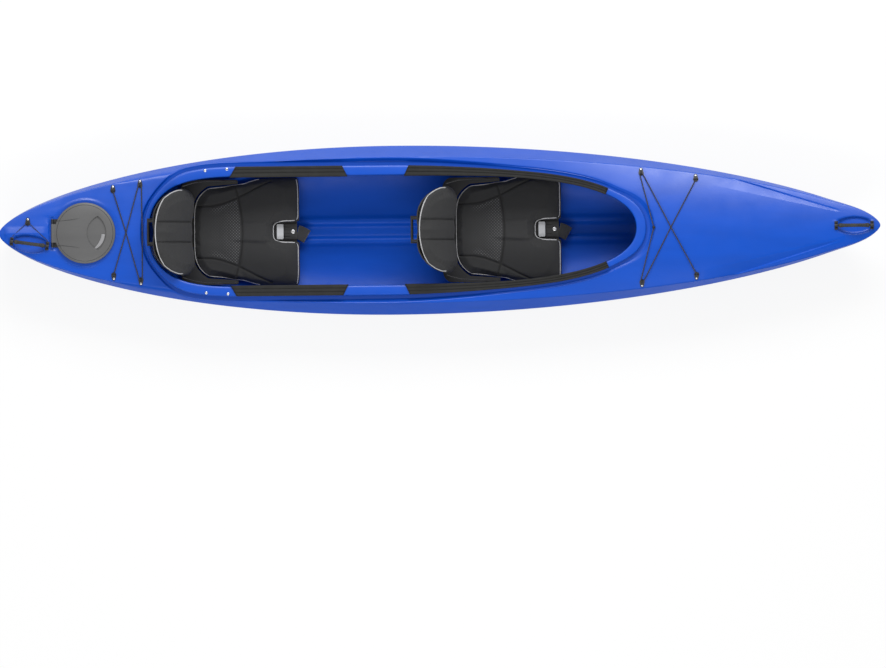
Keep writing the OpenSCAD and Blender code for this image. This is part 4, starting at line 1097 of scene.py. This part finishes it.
@dataclass
class DeckCords:
    """Bungees and the keeper cord, held on the deck by their eyes and hooks."""

    diameter: float = 5.0
    keeper_d: float = 3.0
    loop_in: float = 18.0
    foot: float = 3.0
    bow_eye: tuple = (940.0, 270.0)
    bow_hook: tuple = (1194.0, 238.0)
    stern_eye: tuple = (-1392.0, 238.0)
    stern_hook: tuple = (-1518.0, 214.0)
    bead_x: float = 996.0
    bead_up: float = 7.4
    keeper: tuple = (-1915.0, 66.0)
    # Where the keeper cord ends: distance from the handle's line, and height over the deck.
    keeper_end: tuple = (23.0, 4.5)

    def lay(self, points: list[tuple]) -> list[Vector]:
        """A cord's line over the deck through points with heights above it.

        Args:
            points: x, y and height above the deck, in millimetres.
        Returns:
            The line in metres.
        """
        places = []
        for a, b in zip(points, points[1:]):
            places += [tuple(mix(p, q, k / 24) for p, q in zip(a, b)) for k in range(24)]
        line = [Vector((x, y, LINES.deck_z(x, y) + h)) * MM for x, y, h in [*places, points[-1]]]
        return relaxed(even(line, 0.0045), 2)

    def route(self, hook: tuple, eye: tuple, dx: float, middle: tuple) -> list[tuple]:
        """Route of a bungee: hook, across, round both eyes and back across.

        Args:
            hook: port hook.
            eye: port eye.
            dx: how far from an eye's middle the cord turns, on the hooks' side.
            middle: where the stretch between the eyes crosses the centreline.
        Returns:
            The route's points.
        """
        (hx, hy), (ex, ey) = ((x, y - self.loop_in) for x, y in (hook, eye))
        cross = mix(hx, ex, hy / (hy + ey))
        up = self.foot + self.diameter / 2 + 1.6
        lie = self.diameter / 2 + 0.5
        over = lie + self.diameter + 0.5
        return [
            (hx, hy + 6, up), (hx, hy, up), (cross, 0, lie), (ex + dx, -ey, up), (ex - dx, -ey, up), middle,
            (ex - dx, ey, up), (ex + dx, ey, up), (cross, 0, over), (hx, -hy, up), (hx, -hy - 6, up),
        ]

    def keeper_route(self) -> list[tuple]:
        """Route of the keeper cord, from one end of the stern handle through its hook to the other."""
        x, y, _, turn = HANDLES["stern"]
        c, s = math.cos(math.radians(turn)), math.sin(math.radians(turn))
        off, high = self.keeper_end
        ends = [(x + r * c - off * s, y + r * s + off * c, high) for r in (-HANDLE_REACH, HANDLE_REACH)]
        up, ky = self.foot + self.keeper_d / 2 + 1.2, self.keeper[1] - self.loop_in
        return [ends[0], (self.keeper[0] - 6, ky, up), (self.keeper[0] + 6, ky, up), ends[1]]

    def build(self) -> None:
        """Builds the three cords and dresses their fittings."""
        stern_middle = (self.stern_eye[0] + 9, 0, self.diameter / 2 + 0.5)
        bow_middle = (self.bead_x, 0, self.bead_up)
        for name, points, diameter in (
            ("stern_bungee", self.route(self.stern_hook, self.stern_eye, -7.0, stern_middle), self.diameter),
            ("bow_bungee", self.route(self.bow_hook, self.bow_eye, 7.0, bow_middle), self.diameter),
            ("keeper_cord", self.keeper_route(), self.keeper_d),
        ):
            bm = bmesh.new()
            tube(bm, self.lay(points), diameter / 2 * MM)
            piece(f"{name}_line", bm, CORD, "boat", (name,))
        for name in ("deck_eyes", "deck_hooks", "keeper_hook", "bow_bungee_bead"):
            dress_node(name, BLACK)
        for name in ("deck_screws", "coaming_screws"):
            dress_node(name, STEEL)


@dataclass
class CarryHandles:
    """Ribbed grips that turn in anchors on the deck."""

    grip: float = 61.5
    arch: float = 24.0
    ribs: int = 17
    # Places along a knob, from the end of the grip outwards, and the radius at each.
    knob: tuple = ((-11, 3), (-10, 6.5), (-6, 9.6), (0, 10.6), (5, 9.8), (9, 7), (10, 4.2), (26, 4.0))

    def build(self) -> None:
        """Builds both grips and dresses their anchors."""
        count = self.ribs * 6
        for name, (x, y, z, turn) in HANDLES.items():
            a = math.radians(turn)
            path, radii = [], []
            for i in range(count + 1):
                u = 2 * i / count - 1
                along, up = self.grip * u, self.arch * (1 - u * u)
                path.append(Vector((x + along * math.cos(a), y + along * math.sin(a), z + up)) * MM)
                wave = 0.5 - 0.5 * math.cos(2 * math.pi * self.ribs * i / count)
                radii.append((7.0 + 2.4 * wave**0.7 if abs(u) < 0.86 else 9.0) * MM)
            bm = bmesh.new()
            tube(bm, path, radii, 20, 0.72)
            for s in (-1, 1):
                outs = [s * (self.grip + 1 + t) for t, _ in self.knob]
                line = [Vector((x + d * math.cos(a), y + d * math.sin(a), z)) * MM for d in outs]
                tube(bm, line, [r * MM for _, r in self.knob], 24)
            piece(f"{name}_grip", bm, GRIP, f"{name}_carry", (f"{name}_handle",))
        dress_node("handle_anchors", BLACK, 0.0008)
        dress_node("handle_screws", BLACK)


@dataclass
class SternHatch:
    """Round hatch: lid with dark lines and a ring that paint the shade of its grooves, seal, rim and pull."""

    z: float = 310.3
    top: float = 21.8
    floor: float = 14.4
    ring: float = 131.0
    ring_section: tuple = ((-1.1, 0), (-0.6, 0.45), (0.6, 0.45), (1.1, 0), (0.6, -0.3), (-0.6, -0.3), (-1.1, 0))
    pull_r: float = 86.0
    pull_half: float = 8.5
    pull_section: tuple = ((-1, 0), (-1, 2.2), (-0.8, 3), (0.8, 3), (1, 2.2), (1, 0))

    def at(self, x: float, y: float, z: float) -> Vector:
        """A point of the hatch, in metres."""
        return (Vector((*HATCH_AT, self.z)) + Vector((x, y, z))) * MM

    def round_at(self, r: float, a: float, z: float) -> Vector:
        """A point of the hatch by its radius and angle, in metres."""
        return self.at(r * math.cos(a), r * math.sin(a), z)

    def build_groove_shade(self) -> None:
        """Adds the two lines and the ring on the lid: dark strips that paint the shade in its grooves."""
        steps = 24
        for side, sign in SIDES:
            line = []
            for t in (i / steps for i in range(steps + 1)):
                line.append(self.at(-126 + 104 * t, sign * (57 + 4 * t + 8 * t * t), self.top + 0.1))
            bm = bmesh.new()
            tube(bm, line, [1.4 * MM * smooth((steps - i) / 10 + 0.2) for i in range(steps + 1)], 8, 0.5)
            piece(f"lid_groove_shade_{side}", bm, LID_GROOVE_SHADE, "hatch_cover")
        # A dark ring paints the shade of the groove near the lid's edge.
        turns = [2 * math.pi * k / 120 for k in range(120)]
        bm = bmesh.new()
        rings = [[self.round_at(self.ring + d, a, self.top + up) for a in turns] for d, up in self.ring_section]
        sweep(bm, rings, True)
        bmesh.ops.remove_doubles(bm, verts=bm.verts, dist=1e-6)
        piece("lid_groove_ring_shade", bm, LID_GROOVE_SHADE, "hatch_cover")

    def build_pull(self) -> None:
        """Adds the curved pull in the lid's recess."""
        turns = [math.radians(a) for a in range(-58, -3, 3)]
        rings = []
        for k, a in enumerate(turns):
            half = self.pull_half * math.sin(math.pi * mix(0.12, 0.62, k / (len(turns) - 1))) ** 0.8
            low = self.floor + 0.2
            rings.append([self.round_at(self.pull_r + out * half, a, low + up) for out, up in self.pull_section])
        bm = bmesh.new()
        loft(bm, rings)
        piece("lid_pull", bm, PULL, "hatch_cover", ("hatch_pull",))

    def build(self) -> None:
        """Dresses the hatch and adds the lid's painted groove shade and its pull."""
        for name, finish in (
            ("hatch_lid", LID), ("hatch_rim", BLACK), ("hatch_gasket", RIB), ("hatch_hinge_pin", STEEL)
        ):
            dress_node(name, finish)
        self.build_groove_shade()
        self.build_pull()


@dataclass
class Seat:
    """A seat: padded cushion and back rest on a moulded base, with webbing and piping."""

    end: Side
    x: float
    body: str
    strap_out: tuple
    seam_reach: float = 0.008
    seam_depth: float = 0.006
    # Width of the painted shade along a seam.
    seam_shade_wide: float = 0.0042
    back_low: float = 175.0
    back_rise: float = 297.0
    back_half: float = 206.0
    facing: Vector = field(default_factory=lambda: Vector((0.94, 0, 0.34)))
    voxel: float = 0.006
    pressure: float = 4.0
    stiffness: float = 25.0
    frames: int = 20
    pipe_r: float = 2.6
    strap: tuple = (25.0, 2.0)
    pull: tuple = (66.0, 3.0)
    # A strap's section, as shares of its half width and half thickness.
    strap_section: tuple = (
        (-1, -0.6), (-0.94, -1), (-0.5, -1), (0.5, -1), (0.94, -1), (1, -0.6),
        (1, 0.6), (0.94, 1), (0.5, 1), (-0.5, 1), (-0.94, 1), (-1, 0.6),
    )

    def node(self, name: str) -> str:
        """Name of one of this seat's CAD nodes."""
        return f"{self.end.value}_{name}"

    def at(self, x: float, y: float, z: float) -> Vector:
        """A point measured from the cushion's rear edge, in metres."""
        return Vector((self.x + x, y, z)) * MM

    def plump(self, name: str, cap: float, facing: Vector) -> Mesh:
        """Copies a soft node, fills it like a cushion and returns the result.

        Args:
            name: the CAD node.
            cap: how far a point may move.
            facing: side that swells most; the outline keeps its shape.
        Returns:
            The plump mesh.
        """
        body = stand(f"{name}_start", merged(name))
        remesh = body.modifiers.new("remesh", "REMESH")
        remesh.mode, remesh.voxel_size = "VOXEL", self.voxel
        bm = of_mesh(baked(body))
        for _ in range(3):
            bmesh.ops.smooth_vert(bm, verts=bm.verts, factor=0.5, use_axis_x=True, use_axis_y=True, use_axis_z=True)
        body = stand(f"{name}_fill", bm)
        rest = [v.co.copy() for v in body.data.vertices]
        settings = body.modifiers.new("fill", "CLOTH").settings
        settings.use_pressure, settings.uniform_pressure_force = True, self.pressure
        settings.effector_weights.gravity = 0.0
        settings.quality = 4
        settings.tension_stiffness = settings.compression_stiffness = self.stiffness
        for i in range(1, self.frames + 1):
            bpy.context.scene.frame_set(i)
        full = baked(body)
        bpy.context.scene.frame_set(1)
        for v, p in zip(full.vertices, rest):
            move = v.co - p
            lift = facing * max(-0.001, move.dot(facing))
            move = lift + (move - facing * move.dot(facing)) * 0.15
            v.co = p + move * min(1.0, cap / max(1e-9, move.length))
        return full

    def seam(self, bm: BMesh, lines: list[list[Vector]], facing: Vector) -> None:
        """Draws sewn seams into a plump mesh and marks painted shade along them.

        Args:
            bm: the plump mesh.
            lines: the seams, seen along facing.
            facing: direction that the seams are seen from.
        """
        flat = [p - facing * p.dot(facing) for line in lines for p in even(line, 0.004)]
        layer = bm.verts.layers.float.new("seam")
        for v in bm.verts:
            if v.normal.dot(facing) < 0.2:
                continue
            p = v.co - facing * v.co.dot(facing)
            near = min((p - q).length for q in flat)
            if near < self.seam_reach * 2:
                # Painted shade in the seam's valley, kept in the seam attribute.
                v[layer] = 0.85 * math.exp(-((near / self.seam_shade_wide) ** 2))
                v.co -= facing * self.seam_depth * math.exp(-((near / self.seam_reach) ** 2) * 3)

    def finish(self, names: tuple, mesh: Mesh, lines: list[list[Vector]], facing: Vector, body: str) -> Object:
        """Makes a padded piece of a plump mesh.

        Args:
            names: the piece's name and the CAD node that it stands for.
            mesh: the plump mesh.
            lines: its seams.
            facing: direction that the seams are seen from.
            body: CAD body that it rides on.
        Returns:
            The piece.
        """
        bm = of_mesh(mesh)
        bmesh.ops.subdivide_edges(bm, edges=bm.edges, cuts=1, use_grid_fill=True, smooth=0.6)
        bm.normal_update()
        self.seam(bm, lines, facing)
        obj = piece(self.node(names[0]), bm, COVER, body, (self.node(names[1]),))
        return obj

    def knee(self, y: float) -> float:
        """Where the knee seam lies at y, from the rear edge."""
        return 230 - 30 * (y / 205) ** 2

    def half_width(self, x: float) -> float:
        """Half width of the cushion at x from its rear edge."""
        return 210 + 10 * smooth((x - 40) / 160) + 30 * smooth((x - 190) / 150)

    def swell(self, x: float) -> float:
        """How far the cushion's sides stand out under the coaming at x."""
        return 7.0 * smooth((x - 140) / 70)

    def widen(self, mesh: Mesh) -> None:
        """Lets the cushion's sides stand out."""
        for v in mesh.vertices:
            push = self.swell(v.co.x / MM - self.x) * smooth((abs(v.co.y) / MM - 140) / 80)
            v.co.y += math.copysign(push * MM, v.co.y)

    def square(self, p: Vector) -> Vector:
        """A point of the back rest, set back where its upper corners are full."""
        r = min(1.0, abs(p.y) / MM / self.back_half)
        h = (p.z / MM - self.back_low) / self.back_rise
        return p - Vector((0.055 * r * (1 - r * r) * smooth((h - 0.55) / 0.35), 0, 0))

    def side_seam(self, sign: int) -> list[Vector]:
        """One of the two seams that run out towards the front corners."""
        points = [(22, 122), (88, 124), (134, 133), (173, 147), (209, 161), (265, 190), (297, 207), (327, 221)]
        return [self.at(x, sign * y, 100) for x, y in [*points, (365, 236)]]

    def mark_dots(self, obj: Object) -> None:
        """Sets the dots attribute behind the knee seam."""
        dots = obj.data.attributes.new("dots", "FLOAT", "POINT")
        for i, v in enumerate(obj.data.vertices):
            x, y = v.co.x / MM - self.x, abs(v.co.y) / MM
            edge = 120 + 38 * smooth((x - 90) / 130)
            inside = smooth((self.knee(y) - 6 - x) / 6) * smooth((x - 60) / 60) * smooth((edge - 6 - y) / 6)
            near = max(smooth((x - 120) / 100), smooth((y - edge + 45) / 40))
            dots.data[i].value = inside * (0.12 + 0.88 * near)

    def build_cushion(self, mesh: Mesh) -> None:
        """Builds the cushion with its seams and piping.

        Args:
            mesh: the plump cushion.
        """
        self.widen(mesh)
        arc = [self.at(self.knee(y), y, 100) for y in range(-205, 206, 10)]
        lines = [arc, self.side_seam(1), self.side_seam(-1)]
        cushion = self.finish(("cushion", "seat_pad"), mesh, lines, UP, self.body)
        self.mark_dots(cushion)
        back = [(70 * abs(v) ** 5 + 6, v * (self.half_width(70) - 5)) for v in (2 * k / 40 - 1 for k in range(41))]
        flank = [(x, self.half_width(x) + self.swell(x) - 6) for x in range(90, 311, 10)]
        rear = [(x, -y) for x, y in reversed(flank)] + back + flank
        front = [(490 - 10 * (y / 250) ** 12, y) for y in range(-244, -60, 8)]
        notch = [(490, -62), (486, -55), (474, -51), (420, -50), (397, -46), (380, -36), (374, -18)]
        half = front + notch
        whole = half + [(374, 0)] + [(x, -y) for x, y in reversed(half)]
        self.pipe("rear_piping", cushion, rear, self.body, 0.0006)
        self.pipe("front_piping", cushion, whole, self.body, 0.0006)

    def pipe(self, name: str, pad: Object, line: list[tuple], body: str, up: float) -> None:
        """Lays piping on a pad along a line seen from above, from its middle outwards.

        Args:
            name: the piping's name.
            pad: the padded piece.
            line: points from the cushion's rear edge, in millimetres.
            body: CAD body that it rides on.
            up: how far its middle lies over the pad, in metres.
        """
        bm = of_mesh(pad.data)
        tree = BVHTree.FromBMesh(bm)
        bm.free()
        points = even([self.at(x, y, 600) for x, y in line], 0.006)
        middle = len(points) // 2
        path = {}
        for i in [*range(middle, len(points)), *range(middle - 1, -1, -1)]:
            p = points[i]
            hit = tree.ray_cast(p, -UP)[0]
            if hit is None:
                beside = path.get(i - 1 if i > middle else i + 1, self.at(0, 0, 300))
                hit = tree.find_nearest(Vector((p.x, p.y, beside.z)))[0]
            path[i] = hit + UP * up
        bm = bmesh.new()
        tube(bm, relaxed([path[i] for i in range(len(points))], 6), self.pipe_r * MM)
        piece(self.node(name), bm, PIPING, body)

    def build_back(self, mesh: Mesh) -> None:
        """Builds the back rest's pad with its seams and piping.

        Args:
            mesh: the plump pad.
        """
        for v in mesh.vertices:
            v.co = self.square(v.co)
        points = [(-40, 240), (-70, 320), (-100, 390), (-125, 430), (-150, 460)]
        lines = [[self.at(x, y, z) for x, z in points] for y in (-47, 47)]
        rest = self.node("back_rest")
        back = self.finish(("back_cushion", "back_pad"), mesh, lines, self.facing, rest)
        back.data.attributes.new("dots", "FLOAT", "POINT")
        turns = [math.radians(90 * k / 46) for k in range(-46, 47)]
        edge = [(-30 - 136 * math.cos(a) ** 0.8, 204 * math.sin(a)) for a in turns]
        self.pipe("back_piping", back, edge, rest, 0.0002)

    def build_panel(self) -> None:
        """Builds the panel behind the back pad."""
        shell = self.node("back_shell")
        bm = merged(shell)
        for v in bm.verts:
            v.co = self.square(v.co)
        shade_evenly(piece(self.node("back_panel"), bm, BLACK, self.node("back_rest"), (shell,)))

    def ribbon(self, lines: list[list[tuple]], size: tuple, upright: bool) -> BMesh:
        """Builds flat straps.

        Args:
            lines: for each strap its points, from the cushion's rear edge.
            size: width and thickness, in millimetres.
            upright: whether the width stands up.
        Returns:
            The straps' mesh.
        """
        wide, thick = (s / 2 * MM for s in size)
        bm = bmesh.new()
        for line in lines:
            path = relaxed(even([self.at(*p) for p in line], 0.008), 3)
            rings = []
            for i, p in enumerate(path):
                along = heading(path, i)
                across = UP if upright else UP.cross(along).normalized()
                face = along.cross(across).normalized()
                rings.append([p + across * (u * wide) + face * (w * thick) for u, w in self.strap_section])
            loft(bm, rings)
        return bm

    def build_straps(self) -> None:
        """Builds the back straps, which ride on no body, and the pull strap."""
        top, low = self.strap_out
        line = [(-42, 212, 318), (15, top, 296), (70, low, 225), (140, 237.2, 117.5), (152, 237.2, 113.5)]
        line.append((198, 237.2, 113.5))
        bm = self.ribbon([line, [(x, -y, z) for x, y, z in line]], self.strap, True)
        straps = piece(self.node("side_straps"), bm, WEBBING, None, (self.node("back_straps"),))
        self.at(62, 0, 234)
        self.at(-30, 0, 310)
        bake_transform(straps)
        bm = self.ribbon([[(487, -3, 70), (500, -5, 70.5), (518, -16, 64), (532, -24, 55)]], self.pull, False)
        piece(self.node("pull_tab"), bm, WEBBING, self.body, (self.node("pull_strap"),))

    def build(self, cushion: Mesh, back: Mesh) -> None:
        """Builds the seat's soft pieces and dresses the hard ones.

        Args:
            cushion: the plump cushion, at this seat.
            back: the plump back pad, at this seat.
        """
        self.build_cushion(cushion)
        self.build_back(back)
        self.build_panel()
        self.build_straps()
        for name, finish, bevel in (
            ("seat_base", BLACK, 0.0), ("back_post", COAT, 0.0012), ("back_pin", STEEL, 0.0),
            ("seat_bracket", BLACK, 0.0008), ("seat_block", PALE, 0.0), ("bracket_screw", STEEL, 0.0),
        ):
            dress_node(self.node(name), finish, bevel)


@dataclass
class FootBraces:
    """Rails and pedals along the inside of the hull."""

    pairs: tuple = ("rear", "solo", "front")

    def build(self) -> None:
        """Dresses the rails, pedals and bolts, and the bulkhead."""
        for pair in self.pairs:
            for side, _ in SIDES:
                dress_node(f"{pair}_{side}_rail", BLACK, 0.0008)
                dress_node(f"{pair}_{side}_pedal", BLACK, 0.0012)
        dress_node("rail_bolts", STEEL)
        dress_node("stern_bulkhead", FOAM)


@dataclass
class Studio:
    """Camera straight over the boat, a pale floor and soft light."""

    camera_at: tuple = (0.0114, -0.4864, 40.3)
    turn: float = -0.58
    view_width: float = 4.124
    distance: float = 40.0
    clip: tuple = (0.5, 300.0)
    sky: float = 0.56
    floor_half: float = 30.0
    floor_z: float = -0.0005
    floor_grey: float = 0.8
    floor_glow: float = 0.86
    aim: tuple = (0, 0, 0.2)
    # Name, place, size and power in watts.
    lamps: tuple = (
        ("key", (0.4, 5.2, 5.5), (7.0, 2.6), 520.0),
        ("fill", (-0.6, -4.5, 6.0), (7.0, 2.0), 210.0),
    )

    def floor(self) -> None:
        """Builds the floor, white to the camera but for the shadow on it."""
        bm = bmesh.new()
        bmesh.ops.create_grid(bm, x_segments=2, y_segments=2, size=self.floor_half)
        obj = stand("floor", bm)
        obj.location.z = self.floor_z
        n = Surface("floor_white")
        ray = n.add("ShaderNodeLightPath").outputs
        seen = n.math("MAXIMUM", ray["Is Camera Ray"], ray["Is Glossy Ray"])
        paper = n.add("ShaderNodeBsdfDiffuse", (*[self.floor_grey] * 3, 1)).outputs[0]
        glow = n.add("ShaderNodeEmission").outputs[0]
        blend = n.add("ShaderNodeMixShader", n.math("MULTIPLY", seen, self.floor_glow), paper, glow)
        n.feed(n.out, blend.outputs[0])
        obj.data.materials.append(n.material)

    def lamp(self, name: str, at: tuple, size: tuple, power: float) -> None:
        """Adds a soft lamp that faces the boat.

        Args:
            name: its name.
            at: its place.
            size: its width and height.
            power: its power in watts.
        """
        data = bpy.data.lights.new(name, "AREA")
        data.shape, data.size, data.size_y, data.energy = "RECTANGLE", size[0], size[1], power
        lamp = bpy.data.objects.new(name, data)
        lamp.location = at
        lamp.rotation_mode = "QUATERNION"
        lamp.rotation_quaternion = (Vector(self.aim) - Vector(at)).to_track_quat("-Z", "Y")
        bpy.context.scene.collection.objects.link(lamp)

    def build(self) -> None:
        """Sets up the camera, the light and the floor."""
        scene = bpy.context.scene
        scene.view_settings.view_transform = "Standard"
        data = bpy.data.cameras.new("camera")
        data.lens = data.sensor_width * self.distance / self.view_width
        data.clip_start, data.clip_end = self.clip
        camera = bpy.data.objects.new("camera", data)
        camera.location = self.camera_at
        camera.rotation_euler = (0, 0, math.radians(self.turn))
        scene.collection.objects.link(camera)
        scene.camera = camera
        world = bpy.data.worlds.new("studio")
        world.use_nodes = True
        back = world.node_tree.nodes["Background"]
        back.inputs["Color"].default_value = (1, 1, 1, 1)
        back.inputs["Strength"].default_value = self.sky
        scene.world = world
        for lamp in self.lamps:
            self.lamp(*lamp)
        self.floor()


def moved(mesh: Mesh, x: float) -> Mesh:
    """A copy of a mesh moved along X.

    Args:
        mesh: the mesh.
        x: how far, in metres.
    Returns:
        The copy.
    """
    copy = mesh.copy()
    for v in copy.vertices:
        v.co.x += x
    return copy


def main() -> None:
    """Builds every sub-assembly in order."""
    logging.basicConfig(level=logging.INFO, format="%(message)s")
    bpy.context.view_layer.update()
    for assembly in (Studio, HullShell, CoamingPads, DeckCords, CarryHandles, SternHatch, FootBraces):
        assembly().build()
    rear = Seat(Side.REAR, -1152.0, "boat", (229.9, 237.2))
    front = Seat(Side.FRONT, 73.0, "front_seat", (229.0, 233.6))
    cushion = rear.plump("rear_seat_pad", 0.012, UP)
    back = rear.plump("rear_back_pad", 0.010, rear.facing)
    offset = (front.x - rear.x) * MM
    front.build(moved(cushion, offset), moved(back, offset))
    rear.build(cushion, back)


if __name__ == "__main__":
    main()
